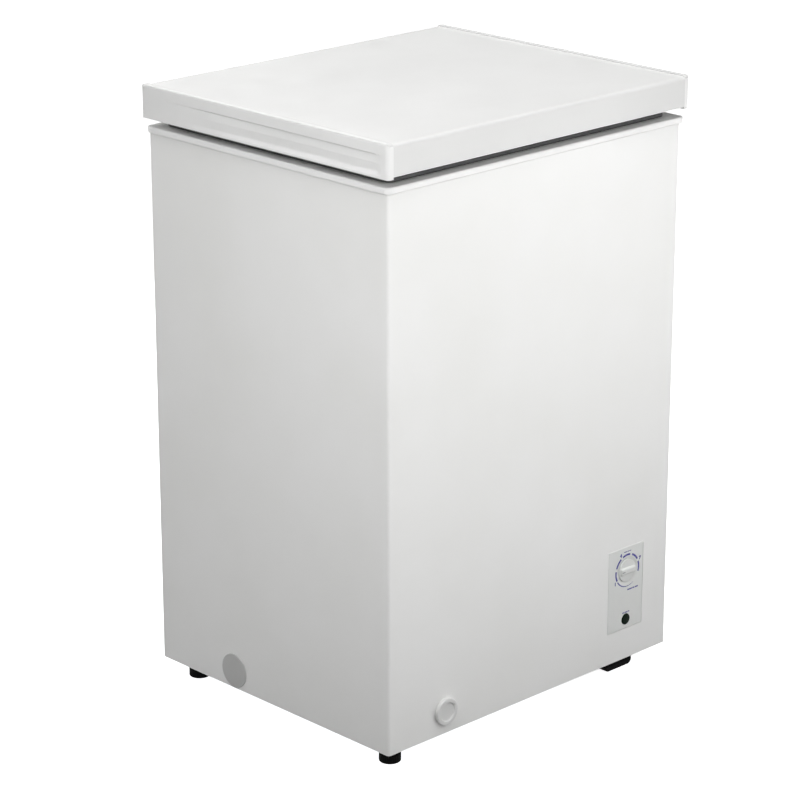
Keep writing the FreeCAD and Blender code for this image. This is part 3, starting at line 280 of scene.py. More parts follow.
print("materials")
enamel = bakedEnamelSteel("bakedEnamelSteel", ("#EFEFED", "#F3F3F2"))
# the lid sheet is the same enamel as the cabinet, made a shade darker: painted shade for the lid getting
# less light
lidShadedEnamel = bakedEnamelSteel("lidEnamelSteelPaintedShade", ("#D8D8D7", "#DCDCDB"), 0.12, 0.42)
trimPlastic = mouldedWhite("trimAbs", ("#E7E7E6", "#EBEBEA"), 0.5, 0.9, 0.3, 0.5)
# a greyer copy of the trim plastic for the trims' up-facing crown: painted shade, not a different plastic
crownShadePlastic = mouldedWhite("trimCrownPaintedShade", ("#CDCDCC", "#D1D1D0"), 0.55, 0.6, 0.25)
collarPlastic = mouldedWhite("collarPolystyrene", ("#EEEEED", "#F2F2F1"), 0.38)
capPlastic = mouldedWhite("capPolypropylene", ("#E0E0DF", "#E5E5E4"), 0.45)
fillingCapPlastic = mouldedWhite("fillingCapPolypropylene", ("#BFBFBE", "#C6C6C5"), 0.5)
panelPlastic = mouldedWhite("panelAbs", ("#E5E7E5", "#E9EAE8"), 0.42, 0.7)
knobPlastic = mouldedWhite("knobAbs", ("#E2E4E2", "#E8E9E7"), 0.42, 0.7)
innerPlastic = mouldedWhite("innerPolystyrene", ("#EEEFEE", "#F4F4F3"), 0.34, 3.0, 0.5, 0.0, 0.004)
footPlastic = mouldedBlack("footPolypropylene", ("#020202", "#050505"), 0.55)
glandPlastic = mouldedBlack("glandNylon", ("#0A0A0B", "#131314"), 0.5)
sealVinyl = softVinylSeal()
stucco = stuccoAluminium()
galvanised = galvanisedSteel()
zinc = zincPlated()
copper = drawnCopper()
blackSteel = blackEnamelSteel()
foam = rigidFoam("pouredFoam", ("#D9C690", "#E8D9AC"))
whiteFoam = rigidFoam("whiteBlockFoam", ("#E9E9E6", "#F2F2F0"))
wireCoat = coatedWire()
rubber = blackRubber()
lensPlastic = signalLens()
ink = printedInk()
markPaint = pointerPaint()

slotLooks = {
    "white_steel": enamel, "white_plastic": trimPlastic, "panel_plastic": panelPlastic,
    "knob_plastic": knobPlastic, "lamp_plastic": lensPlastic, "seal_rubber": sealVinyl,
    "black_plastic": footPlastic, "black_rubber": rubber, "foam": foam, "embossed_aluminium": stucco,
    "galvanised_steel": galvanised, "black_steel": blackSteel, "copper": copper, "zinc_screw": zinc,
    "dark_screw": footPlastic, "coated_wire": wireCoat,
}
nodeLooks = {
    "lid_outer_sheet": lidShadedEnamel, "top_collar": collarPlastic,
    "side_cap": fillingCapPlastic, "drain_plug": capPlastic, "lid_inner_liner": innerPlastic,
    "power_cord_gland": glandPlastic, "drain_stopper": capPlastic, "lid_foam": whiteFoam,
}
nodeSlots = {part["node"]: part["material_slot"] for part in frame["record"]["subparts"]}
for nodeName, nodeObject in frame["nodes"].items():
    look = nodeLooks.get(nodeName, slotLooks[nodeSlots[nodeName]])
    nodeObject.data.materials.clear()
    nodeObject.data.materials.append(look)


# helpers that turn a bmesh into a finished piece

def meshObject(name, bm):
    bmesh.ops.remove_doubles(bm, verts=bm.verts, dist=0.002 * mm)
    bmesh.ops.recalc_face_normals(bm, faces=bm.faces)
    mesh = bpy.data.meshes.new(name)
    bm.to_mesh(mesh)
    bm.free()
    piece = bpy.data.objects.new(name, mesh)
    scene.collection.objects.link(piece)
    return piece


def finishPiece(name, bm, material, body, replaced=(), sharpDeg=38.0, cutters=()):
    piece = meshObject(name, bm)
    for cutter in cutters:
        carve(piece, cutter)
    piece.data.shade_smooth()
    piece.data.set_sharp_from_angle(angle=math.radians(sharpDeg))
    piece.data.materials.append(material)
    weighted = piece.modifiers.new("flatFaces", "WEIGHTED_NORMAL")
    weighted.keep_sharp = True
    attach(piece, body)
    if replaced:
        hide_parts(*replaced)
    return piece


def carve(piece, cutterBm):
    # takes the cutter's shape out of the piece
    cutter = meshObject("cutter", cutterBm)
    modifier = piece.modifiers.new("carve", "BOOLEAN")
    modifier.operation = "DIFFERENCE"
    modifier.solver = "EXACT"
    modifier.object = cutter
    bpy.context.view_layer.update()
    evaluated = piece.evaluated_get(bpy.context.evaluated_depsgraph_get())
    carved = bpy.data.meshes.new_from_object(evaluated)
    piece.modifiers.clear()
    piece.data = carved
    bpy.data.objects.remove(cutter)


def middle(node):
    low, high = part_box(node)
    return (Vector(low) + Vector(high)) / 2


def revolve(bm, profile, centre, axis, steps=96):
    # profile points are (radius, height) in mm, height along the axis
    vertices = [bm.verts.new((radius * mm, 0, height * mm)) for radius, height in profile]
    edges = [bm.edges.new(pair) for pair in zip(vertices, vertices[1:])]
    made = bmesh.ops.spin(bm, geom=vertices + edges, cent=(0, 0, 0), axis=(0, 0, 1), angle=math.tau,
                          steps=steps, use_merge=True)
    new = {v for v in vertices if v.is_valid} | {v for e in edges if e.is_valid for v in e.verts}
    new |= {g for g in made["geom_last"] if isinstance(g, bmesh.types.BMVert) and g.is_valid}
    island = grow(new)
    bmesh.ops.remove_doubles(bm, verts=list(island), dist=0.001 * mm)
    island = grow({v for v in island if v.is_valid})
    turn = Vector((0, 0, 1)).rotation_difference(Vector(axis)).to_matrix().to_4x4()
    bmesh.ops.transform(bm, matrix=Matrix.Translation(centre) @ turn, verts=list(island))
    return island


def grow(seeds):
    island = set(seeds)
    edge = set(seeds)
    while edge:
        edge = {e.other_vert(v) for v in edge for e in v.link_edges} - island
        island |= edge
    return island


def roundedBlock(bm, low, high, radiusMm, segments=4):
    made = bmesh.ops.create_cube(bm, size=1.0)
    size = Vector(high) - Vector(low)
    place = Matrix.Translation((Vector(low) + Vector(high)) / 2) @ Matrix.Diagonal((*size, 1.0))
    bmesh.ops.transform(bm, matrix=place, verts=made["verts"])
    edges = list({e for v in made["verts"] for e in v.link_edges})
    bmesh.ops.bevel(bm, geom=edges, offset=radiusMm * mm, segments=segments, profile=0.5,
                    affect="EDGES", material=-1)


def arcPoints(cx, cy, radius, startDeg, endDeg, count):
    angles = [math.radians(startDeg + (endDeg - startDeg) * i / count) for i in range(count + 1)]
    return [(cx + radius * math.cos(a), cy + radius * math.sin(a)) for a in angles]


def ringSweep(bm, profile, low, high, cornerMm, steps=8):
    # sweeps a closed profile, (outwards, up) in mm from the path, round a rectangle with round corners
    corner = cornerMm * mm
    z = low[2]
    vertices = [bm.verts.new((low[0] + corner, low[1] - out * mm, z + up * mm)) for out, up in profile]
    loop = vertices + [bm.edges.new(pair) for pair in zip(vertices, vertices[1:] + vertices[:1])]
    runs = [((high[0] - low[0] - 2 * corner, 0, 0), (high[0] - corner, low[1] + corner)),
            ((0, high[1] - low[1] - 2 * corner, 0), (high[0] - corner, high[1] - corner)),
            ((low[0] - high[0] + 2 * corner, 0, 0), (low[0] + corner, high[1] - corner)),
            ((0, low[1] - high[1] + 2 * corner, 0), (low[0] + corner, low[1] + corner))]
    for run, (cx, cy) in runs:
        made = bmesh.ops.extrude_edge_only(bm, edges=[g for g in loop if isinstance(g, bmesh.types.BMEdge)])
        loop = made["geom"]
        bmesh.ops.translate(bm, vec=run, verts=[g for g in loop if isinstance(g, bmesh.types.BMVert)])
        loop = [g for g in loop if not isinstance(g, bmesh.types.BMFace)]
        loop = bmesh.ops.spin(bm, geom=loop, cent=(cx, cy, 0), axis=(0, 0, 1), angle=math.pi / 2,
                              steps=steps)["geom_last"]
    bmesh.ops.remove_doubles(bm, verts=bm.verts, dist=0.005 * mm)


# lid end trims, each with its long finger recess

endTrim = {"recessDeep": 3.6, "recessFrontGap": 12.0, "recessRearGap": 42.0, "frontRamp": 10.0,
           "rearRamp": 260.0, "rampSteps": 12, "recessLow": 2.2, "lipTop": 9.0, "crest": 20.0,
           "recessHigh": 30.5, "shoulder": 3.2, "cornerRound": 5.5, "cornerPower": 6, "stepShare": 0.46,
           "crestShare": 0.20, "notchHigh": 0.9, "notchDeep": 1.3, "notchRamp": 3.0, "shadedCrownTilt": 0.3}


def trimSection(width, height):
    # each point is (inwards, up, its share of the recess, its share of the shadow notch)
    t = endTrim
    lower = [(0.8, 0, 0, 0), (0.2, 0.2, 0, 0), (0, 0.8, 0, 0), (0, t["recessLow"], 0, 0)]
    rise = t["lipTop"] - t["recessLow"]
    span = t["crest"] - t["lipTop"]
    ramp = [(0, t["recessLow"] + rise * i / 8, 0.5 - 0.5 * math.cos(math.pi * i / 8), 0)
            for i in range(1, 9)]
    ramp += [(0, t["lipTop"] + span * i / 6, 1.0 + (t["crestShare"] - 1.0) * i / 6, 0) for i in range(1, 7)]
    notchLow = t["recessHigh"] - t["notchHigh"]
    wall = [(0, notchLow - 0.1, t["stepShare"], 0), (0, notchLow, t["stepShare"], 0.15),
            (0, notchLow + 0.1, t["stepShare"], 1), (0, t["recessHigh"] - 0.1, t["stepShare"], 1),
            (0, t["recessHigh"], 0.1, 0.1), (0, t["recessHigh"] + 0.25, 0, 0)]
    shoulder = arcPoints(t["shoulder"], height - t["shoulder"], t["shoulder"], 180, 90, 8)
    inner = [(width - 1.0, height), (width - 0.3, height - 0.3), (width, height - 1.0), (width, 0)]
    return lower + ramp + wall + [(u, v, 0, 0) for u, v in shoulder + inner]


def trimStations(length):
    # each station is (along, corner inset, recess depth, notch depth)
    t = endTrim
    turns = [math.radians(a) for a in range(0, 91, 15)]
    corner = [(t["cornerRound"] * (1 - math.cos(a)), t["cornerRound"] * (1 - math.sin(a))) for a in turns]
    frontEnd = t["recessFrontGap"] + t["frontRamp"]
    rearEnd = length - t["recessRearGap"]
    steps = t["rampSteps"]
    stations = [(y, inset, 0.0, 0.0) for y, inset in corner]
    stations += [(t["recessFrontGap"] + share * t["frontRamp"], 0.0, max(0.0, share), 0.0)
                 for share in (-0.02, 0.02, 0.34, 0.66, 0.98)]
    stations += [(frontEnd + 0.3, 0.0, 1.0, 0.0), (frontEnd + t["notchRamp"], 0.0, 1.0, 1.0)]
    stations += [(rearEnd - t["rearRamp"] * (1 - i / steps), 0.0, 0.5 + 0.5 * math.cos(math.pi * i / steps),
                  min(1.0, 3.0 - 3.0 * i / steps)) for i in range(steps + 1)]
    stations += [(length - y, inset, 0.0, 0.0) for y, inset in reversed(corner)]
    return stations


def makeEndTrim(node, pieceName, inward):
    t = endTrim
    low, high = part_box(node)
    width, length, height = ((b - a) / mm for a, b in zip(low, high))
    outerX = low[0] if inward > 0 else high[0]

    def pointAt(u, v, share, notchShare, y, inset, depth, notch):
        push = (min(max(u, inset), width) + share * depth * t["recessDeep"]
                + notchShare * notch * t["notchDeep"])
        up = v - inset * (v / height) ** t["cornerPower"]
        return outerX + inward * push * mm, low[1] + y * mm, low[2] + up * mm

    section = trimSection(width, height)
    stations = trimStations(length)
    bm = bmesh.new()
    first = [bm.verts.new(pointAt(*point, *stations[0])) for point in section]
    edges = [bm.edges.new(pair) for pair in zip(first, first[1:] + first[:1])]
    ring = first
    for station in stations[1:]:
        made = bmesh.ops.extrude_edge_only(bm, edges=edges)["geom"]
        fresh = {g for g in made if isinstance(g, bmesh.types.BMVert)}
        edges = [g for g in made if isinstance(g, bmesh.types.BMEdge) and fresh.issuperset(g.verts)]
        ring = [next(e.other_vert(v) for e in v.link_edges if e.other_vert(v) in fresh) for v in ring]
        for vertex, point in zip(ring, section):
            vertex.co = pointAt(*point, *station)
    bmesh.ops.contextual_create(bm, geom=first)
    bmesh.ops.contextual_create(bm, geom=ring)
    trim = finishPiece(pieceName, bm, trimPlastic, "lid", (node,), 32.0)
    # the up-facing crown of the trim gets a greyer copy of the same plastic: painted shade that dims its
    # lit top
    trim.data.materials.append(crownShadePlastic)
    shadedCrownLow = low[2] + t["recessHigh"] * mm
    for face in trim.data.polygons:
        face.material_index = int(face.normal.z > t["shadedCrownTilt"] and face.center.z > shadedCrownLow)


print("lid trims")
makeEndTrim("lid_side_trim_left", "lidEndTrimLeft", 1)
makeEndTrim("lid_side_trim_right", "lidEndTrimRight", -1)


# control panel: a bevelled plate with a round well for the dial and a hole for the lamp

panelShape = {"edgeRound": 0.3, "stand": 0.85, "hidden": 0.3, "seamWide": 1.1, "seamDeep": 0.8,
              "seamInset": 0.35, "seamStop": 2.0, "seamRound": 0.12, "seamStagger": 0.02, "wellMouth": 20.8,
              "dishFloor": 17.3, "dishDeep": 1.5, "holeRadius": 16.85, "wellDeep": 5.1, "wellLip": 0.6,
              "lensRadius": 8.1, "lensRim": 0.5, "lensBore": 9.0, "backLow": 1.4, "cutterHigh": 2.0}
panelLow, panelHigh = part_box("control_panel")
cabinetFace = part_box("outer_wrapper")[0][1]
panelFront = cabinetFace - panelShape["stand"] * mm
dialAt = middle("thermostat_knob")
lampAt = middle("indicator_lens")
towardsUser = (0, -1, 0)


def makePanel():
    p = panelShape
    bm = bmesh.new()
    roundedBlock(bm, (panelLow[0], panelFront, panelLow[2]),
                 (panelHigh[0], cabinetFace + p["hidden"] * mm, panelHigh[2]), p["edgeRound"], 3)
    # a fine moulded line follows the right and the lower edge; each cutter ends a hair off the other's face
    inner, outer = (p["seamInset"] + p["seamWide"]) * mm, p["seamInset"] * mm
    seamBack = panelFront + p["seamDeep"] * mm
    stop, stagger = p["seamStop"] * mm, p["seamStagger"] * mm
    seams = [((panelHigh[0] - inner, panelFront - mm, panelLow[2] + outer),
              (panelHigh[0] - outer, seamBack, panelHigh[2] - stop)),
             ((panelLow[0] + stop, panelFront - mm, panelLow[2] + outer),
              (panelHigh[0] - outer - stagger, seamBack + stagger, panelLow[2] + inner))]
    cuts = []
    for low, high in seams:
        cut = bmesh.new()
        roundedBlock(cut, low, high, p["seamRound"], 2)
        cuts.append(cut)
    deep, lip, mouth, floor = p["wellDeep"], p["wellLip"], p["wellMouth"], p["dishFloor"]
    cup = [(0, -deep - p["backLow"]), (floor + p["backLow"], -deep - p["backLow"]),
           (mouth + p["backLow"], -p["backLow"]), (0, -p["backLow"])]
    revolve(bm, cup, (dialAt.x, panelFront, dialAt.z), towardsUser)
    well = bmesh.new()
    above = p["cutterHigh"]
    edge = [(0, above), (mouth + lip + 0.4, above), (mouth + lip + 0.4, 0.001)]
    roundIn = [(mouth + lip, 0.0), (mouth + lip * 0.5, -lip * 0.12), (mouth, -lip * 0.5)]
    dish = [(floor, -p["dishDeep"]), (p["holeRadius"] + 0.2, -p["dishDeep"] - 0.05),
            (p["holeRadius"], -p["dishDeep"] - 0.25), (p["holeRadius"], -deep), (0, -deep)]
    revolve(well, edge + roundIn + dish, (dialAt.x, panelFront, dialAt.z), towardsUser)
    hole = bmesh.new()
    rim = p["lensRadius"] + p["lensRim"]
    revolve(hole, [(0, above), (rim, above), (rim, 0.0), (p["lensRadius"], -p["lensRim"]),
                   (p["lensRadius"], -p["lensBore"]), (0, -p["lensBore"])],
            (lampAt.x, panelFront, lampAt.z), towardsUser)
    finishPiece("dialPanel", bm, panelPlastic, "cabinet", ("control_panel",), 30.0,
                (well, hole, *cuts))


# the print on the panel: thick arcs, a tail that thins out, numbers, and plain rules for the small print;
# each rule is (left end, height, length, thickness) from the middle of the dial or of the lamp

printShape = {"innerRadius": 22.1, "outerRadius": 24.9, "segmentDeg": 37.0, "pitchDeg": 47.0,
              "firstDeg": 208.0, "segments": 5, "tailStartDeg": 213.0, "tailEndDeg": 302.0,
              "tailRadius": 23.6, "tailWide": 1.8, "tailThin": 0.4, "inkHigh": 0.05,
              "digitSize": 6.6, "digitBold": 0.5, "digitRadius": 28.4,
              "digits": {"1": 211.0, "4": 119.0, "7": 25.0},
              "rules": [(-7.5, 28.4, 6.0, 1.1), (-0.7, 28.4, 3.4, 1.1), (3.4, 28.4, 3.6, 1.1),
                        (1.0, -29.4, 9.5, 1.9), (11.5, -29.4, 4.2, 1.9), (16.7, -29.4, 6.5, 1.9)],
              "lampRules": [(-7.2, 10.4, 4.2, 1.5), (-2.2, 10.4, 5.0, 1.5), (3.6, 10.4, 3.6, 1.5)]}


def inkBand(bm, centre, startDeg, endDeg, inner, outer, endInner=None, endOuter=None, steps=24):
    # a flat band of ink on the panel's face, which may narrow along its way
    endInner = inner if endInner is None else endInner
    endOuter = outer if endOuter is None else endOuter
    y = panelFront - printShape["inkHigh"] * mm
    pair = [bm.verts.new((0, y, 0)), bm.verts.new((0, y, 1))]
    edge = bm.edges.new(pair)
    path = [(1 - i / steps, i / steps) for i in range(steps + 1)]
    for index, (a, b) in enumerate(path):
        angle = math.radians(startDeg * a + endDeg * b)
        if index:
            made = bmesh.ops.extrude_edge_only(bm, edges=[edge])["geom"]
            edge = next(g for g in made if isinstance(g, bmesh.types.BMEdge) and
                        not any(v in pair for v in g.verts))
            pair = [next(v for v in edge.verts if old in [e.other_vert(v) for e in v.link_edges])
                    for old in pair]
        for vertex, radius in zip(pair, (inner * a + endInner * b, outer * a + endOuter * b)):
            vertex.co = (centre.x + radius * mm * math.cos(angle), y,
                         centre.z + radius * mm * math.sin(angle))


def inkRule(bm, centre, left, height, length, thick):
    made = bmesh.ops.create_grid(bm, x_segments=1, y_segments=1, size=0.5)
    place = (Matrix.Translation((centre.x + (left + length / 2) * mm,
                                 panelFront - printShape["inkHigh"] * mm, centre.z + height * mm))
             @ Matrix.Rotation(math.pi / 2, 4, "X") @ Matrix.Diagonal((length * mm, thick * mm, 1, 1)))
    bmesh.ops.transform(bm, matrix=place, verts=made["verts"])


def inkDigit(bm, text, centre, deg):
    p = printShape
    curve = bpy.data.curves.new("digit", "FONT")
    curve.body = text
    curve.size = p["digitSize"] * mm
    curve.align_x = "CENTER"
    curve.align_y = "CENTER"
    curve.resolution_u = 4
    curve.offset = p["digitBold"] * mm
    holder = bpy.data.objects.new("digit", curve)
    scene.collection.objects.link(holder)
    bpy.context.view_layer.update()
    mesh = bpy.data.meshes.new_from_object(holder.evaluated_get(bpy.context.evaluated_depsgraph_get()))
    angle = math.radians(deg)
    mesh.transform(Matrix.Translation((centre.x + p["digitRadius"] * mm * math.cos(angle),
                                       panelFront - p["inkHigh"] * mm,
                                       centre.z + p["digitRadius"] * mm * math.sin(angle)))
                   @ Matrix.Rotation(math.pi / 2, 4, "X"))
    bm.from_mesh(mesh)
    bpy.data.objects.remove(holder)


def makePrint():
    p = printShape
    bm = bmesh.new()
    for i in range(p["segments"]):
        start = p["firstDeg"] - i * p["pitchDeg"]
        inkBand(bm, dialAt, start, start - p["segmentDeg"], p["innerRadius"], p["outerRadius"])
    inkBand(bm, dialAt, p["tailStartDeg"], p["tailEndDeg"], p["tailRadius"] - p["tailWide"] / 2,
            p["tailRadius"] + p["tailWide"] / 2, p["tailRadius"] - p["tailThin"] / 2,
            p["tailRadius"] + p["tailThin"] / 2, 40)
    for rule in p["rules"]:
        inkRule(bm, dialAt, *rule)
    for rule in p["lampRules"]:
        inkRule(bm, lampAt, *rule)
    for text, deg in p["digits"].items():
        inkDigit(bm, text, dialAt, deg)
    bmesh.ops.remove_doubles(bm, verts=bm.verts, dist=0.002 * mm)
    for face in bm.faces:
        face.normal_update()
        if face.normal.y > 0:
            face.normal_flip()
    skin = bmesh.ops.extrude_face_region(bm, geom=bm.faces[:], use_keep_orig=True)
    backs = [g for g in skin["geom"] if isinstance(g, bmesh.types.BMVert)]
    bmesh.ops.translate(bm, vec=(0, p["inkHigh"] * 0.96 * mm, 0), verts=backs)
    finishPiece("panelPrint", bm, ink, "cabinet")


# thermostat knob: a low disc with a tapered bar across it to turn it by

knobShape = {"radius": 16.6, "baseHigh": 4.7, "rimRound": 1.1, "seatRound": 0.5, "skirtHigh": 1.6,
             "flatIn": 3.2, "gripLong": 14.9, "gripWide": 5.6, "gripHigh": 3.4, "gripRound": 2.0,
             "gripShort": 0.94, "gripTaper": 0.72, "skirtRibs": 36, "ribDeep": 0.22, "markIn": 1.8,
             "markLong": 5.5, "markWide": 1.1, "markHigh": 0.04, "markDeep": 0.2, "markRound": 0.03}


def makeKnob():
    k = knobShape
    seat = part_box("thermostat_knob")[1][1]
    radius, baseHigh = k["radius"], k["baseHigh"]
    bm = bmesh.new()
    foot = [(0, 0), (radius - k["seatRound"], 0), (radius, k["seatRound"]), (radius, k["skirtHigh"])]
    rim = arcPoints(radius - k["rimRound"], baseHigh - k["rimRound"], k["rimRound"], 0, 90, 6)
    top = [(radius - k["flatIn"], baseHigh + 0.05), (0, baseHigh + 0.15)]
    disc = revolve(bm, foot + rim + top, (dialAt.x, seat, dialAt.z), towardsUser, 144)
    for vertex in disc:
        x, z = vertex.co.x - dialAt.x, vertex.co.z - dialAt.z
        if math.hypot(x, z) > (radius - 0.6) * mm:
            wave = 0.5 + 0.5 * math.cos(k["skirtRibs"] * math.atan2(z, x))
            shrink = 1 - k["ribDeep"] / radius * wave
            vertex.co.x = dialAt.x + x * shrink
            vertex.co.z = dialAt.z + z * shrink
    faceY = seat - baseHigh * mm
    made = bmesh.ops.create_cube(bm, size=1.0)
    size = (2 * k["gripLong"] * mm, (k["gripHigh"] + 1.0) * mm, 2 * k["gripWide"] * mm, 1)
    place = Matrix.Translation((dialAt.x, faceY - (k["gripHigh"] / 2 - 0.5) * mm, dialAt.z))
    bmesh.ops.transform(bm, matrix=place @ Matrix.Diagonal(size), verts=made["verts"])
    for vertex in made["verts"]:
        if vertex.co.y < faceY - mm:
            vertex.co.x = dialAt.x + (vertex.co.x - dialAt.x) * k["gripShort"]
            vertex.co.z = dialAt.z + (vertex.co.z - dialAt.z) * k["gripTaper"]
    edges = list({e for v in made["verts"] for e in v.link_edges})
    bmesh.ops.bevel(bm, geom=edges, offset=k["gripRound"] * mm, segments=5, profile=0.5,
                    affect="EDGES", material=-1)
    finishPiece("dialKnob", bm, knobPlastic, "knob", ("thermostat_knob",), 40.0)

    mark = bmesh.new()
    topY = faceY - k["gripHigh"] * mm
    tip = k["gripLong"] - k["markIn"]
    half = k["markWide"] / 2 * mm
    roundedBlock(mark, (dialAt.x - tip * mm, topY - k["markHigh"] * mm, dialAt.z - half),
                 (dialAt.x - (tip - k["markLong"]) * mm, topY + k["markDeep"] * mm, dialAt.z + half),
                 k["markRound"], 2)
    finishPiece("knobPointer", mark, markPaint, "knob")


lensShape = {"deep": 4.5, "rimHigh": 0.35, "domeLow": 0.5, "domeRise": 1.0, "firstDeg": 84, "stepDeg": 7}


def makeLens():
    s = lensShape
    low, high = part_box("indicator_lens")
    radius = (high[0] - low[0]) / 2 / mm
    turns = [math.radians(a) for a in range(s["firstDeg"], 0, -s["stepDeg"])]
    dome = [(radius * math.sin(a), s["domeLow"] + s["domeRise"] * math.cos(a)) for a in turns]
    dome.append((0, s["domeLow"] + s["domeRise"]))
    bm = bmesh.new()
    revolve(bm, [(0, -s["deep"]), (radius, -s["deep"]), (radius, s["rimHigh"])] + dome,
            (lampAt.x, panelFront, lampAt.z), towardsUser)
    finishPiece("lampLens", bm, lensPlastic, "cabinet", ("indicator_lens",))


print("control panel, print, knob and lamp")
makePanel()
makePrint()
makeKnob()
makeLens()


# drain plug in front, its inside stopper, and the cap over the foam filling hole

plugShape = {"radius": 19.0, "stand": 6.0, "edgeRound": 1.7, "rimWide": 3.6, "dishDeep": 2.0,
             "dishSlope": 1.2, "stemRadius": 7.7, "stemLong": 20.0, "stemRound": 1.2, "seatRound": 0.6,
             "notchLong": 5.0, "notchWide": 1.6, "notchDeep": 2.4, "notchOut": 0.6, "notchDeg": 38.0}


def makeDrainPlug():
    p = plugShape
    at = middle("drain_plug")
    radius, stand, stem, long = p["radius"], p["stand"], p["stemRadius"], p["stemLong"]
    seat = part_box("drain_plug")[0][1] + stand * mm
    edge = arcPoints(radius - p["edgeRound"], stand - p["edgeRound"], p["edgeRound"], 0, 90, 6)
    dishEdge = radius - p["edgeRound"] - p["rimWide"]
    dish = [(dishEdge, stand), (dishEdge - 0.4, stand - 0.25),
            (dishEdge - p["dishSlope"], stand - p["dishDeep"] + 0.4),
            (dishEdge - p["dishSlope"] - 0.6, stand - p["dishDeep"]), (0, stand - p["dishDeep"])]
    shank = [(0, -long), (stem - p["stemRound"], -long), (stem, -long + p["stemRound"]), (stem, 0),
             (radius - p["seatRound"], 0), (radius, p["seatRound"])]
    bm = bmesh.new()
    revolve(bm, shank + edge + dish, (at.x, seat, at.z), towardsUser)
    notch = bmesh.new()
    angle = math.radians(p["notchDeg"])
    away = (dishEdge + p["notchOut"]) * mm
    made = bmesh.ops.create_cube(notch, size=1.0)
    place = (Matrix.Translation((at.x + away * math.cos(angle), seat - stand * mm,
                                 at.z + away * math.sin(angle)))
             @ Matrix.Rotation(-angle, 4, "Y")
             @ Matrix.Diagonal((p["notchWide"] * mm, p["notchDeep"] * mm, p["notchLong"] * mm, 1)))
    bmesh.ops.transform(notch, matrix=place, verts=made["verts"])
    finishPiece("drainPlug", bm, capPlastic, "drain_plug_body", ("drain_plug",), 38.0,
                (notch,))


capShape = {"radius": 24.5, "thick": 1.6, "edgeRound": 1.1, "crown": 0.15, "bossRadius": 16.0,
            "bossDeep": 8.0, "offWall": 0.02}


def makeSideCap():
    c = capShape
    at = middle("side_cap")
    radius, thick, boss = c["radius"], c["thick"], c["bossRadius"]
    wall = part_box("side_cap")[0][0] + thick * mm
    back = [(0, -c["bossDeep"]), (boss, -c["bossDeep"]), (boss, c["offWall"]), (radius, c["offWall"])]
    edge = arcPoints(radius - c["edgeRound"], thick - c["crown"] - c["edgeRound"], c["edgeRound"], 0, 80, 6)
    crown = [(radius * share, thick - c["crown"] * share ** 2) for share in (0.85, 0.6, 0.3)]
    bm = bmesh.new()
    revolve(bm, back + edge + crown + [(0, thick)], (wall, at.y, at.z), (-1, 0, 0), 128)
    finishPiece("fillingCap", bm, fillingCapPlastic, "cabinet", ("side_cap",))


stopperShape = {"high": 12.0, "lipRadius": 14.0, "lipHigh": 5.0, "lipRound": 1.5, "seatRound": 0.5,
                "gripRadius": 4.0, "gripRound": 1.4, "stemRadius": 7.6, "stemLong": 14.0, "stemRound": 1.0,
                "neck": [(5.0, 5.0), (3.4, 6.2), (3.2, 8.6), (4.0, 9.8)]}


def makeStopper():
    s = stopperShape
    at = middle("drain_stopper")
    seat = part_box("drain_stopper")[1][2] - s["high"] * mm
    stem, long, lip = s["stemRadius"], s["stemLong"], s["lipRadius"]
    shank = [(0, -long), (stem - s["stemRound"], -long), (stem, -long + s["stemRound"]), (stem, 0),
             (lip - 0.4, 0), (lip, s["seatRound"])]
    rim = arcPoints(lip - s["lipRound"], s["lipHigh"] - s["lipRound"], s["lipRound"], 0, 90, 5)
    top = arcPoints(s["gripRadius"] - s["gripRound"], s["high"] - s["gripRound"], s["gripRound"], 0, 90, 5)
    bm = bmesh.new()
    revolve(bm, shank + rim + s["neck"] + top + [(0, s["high"])], (at.x, at.y, seat), (0, 0, 1), 64)
    finishPiece("drainStopper", bm, capPlastic, "stopper", ("drain_stopper",))


print("drain plug, caps")
makeDrainPlug()
makeSideCap()
makeStopper()


# lid seal: an extruded vinyl profile with a magnet chamber below and a folded bellows above it

# half of the section, as (outwards, up), short of its last point at the top of the space
sealShape = {"cornerMm": 7.0, "halfWide": 7.0, "topHalf": 4.2,
             "half": [(4.6, 0.0), (5.3, 0.5), (5.5, 1.2), (5.5, 4.0), (5.0, 4.8), (3.6, 5.2), (3.4, 5.6),
                      (6.3, 7.2), (6.6, 7.9), (6.3, 8.6), (3.4, 10.2), (3.2, 11.0), (4.2, 11.4)]}


def makeSeal():
    low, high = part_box("lid_gasket")
    tall = (high[2] - low[2]) / mm
    half = sealShape["halfWide"] * mm
    right = sealShape["half"] + [(sealShape["topHalf"], tall)]
    profile = right + [(-out, up) for out, up in reversed(right)]
    bm = bmesh.new()
    ringSweep(bm, profile, (low[0] + half, low[1] + half, low[2]),
              (high[0] - half, high[1] - half, high[2]), sealShape["cornerMm"])
    finishPiece("lidSeal", bm, sealVinyl, "lid", ("lid_gasket",), 30.0)


print("lid seal")
makeSeal()


# feet

roundFoot = {"padHigh": 12.0, "neckRadius": 11.5, "lobes": 30, "lobeDeep": 0.5, "bottomRound": 1.8,
             "topRound": 1.2}


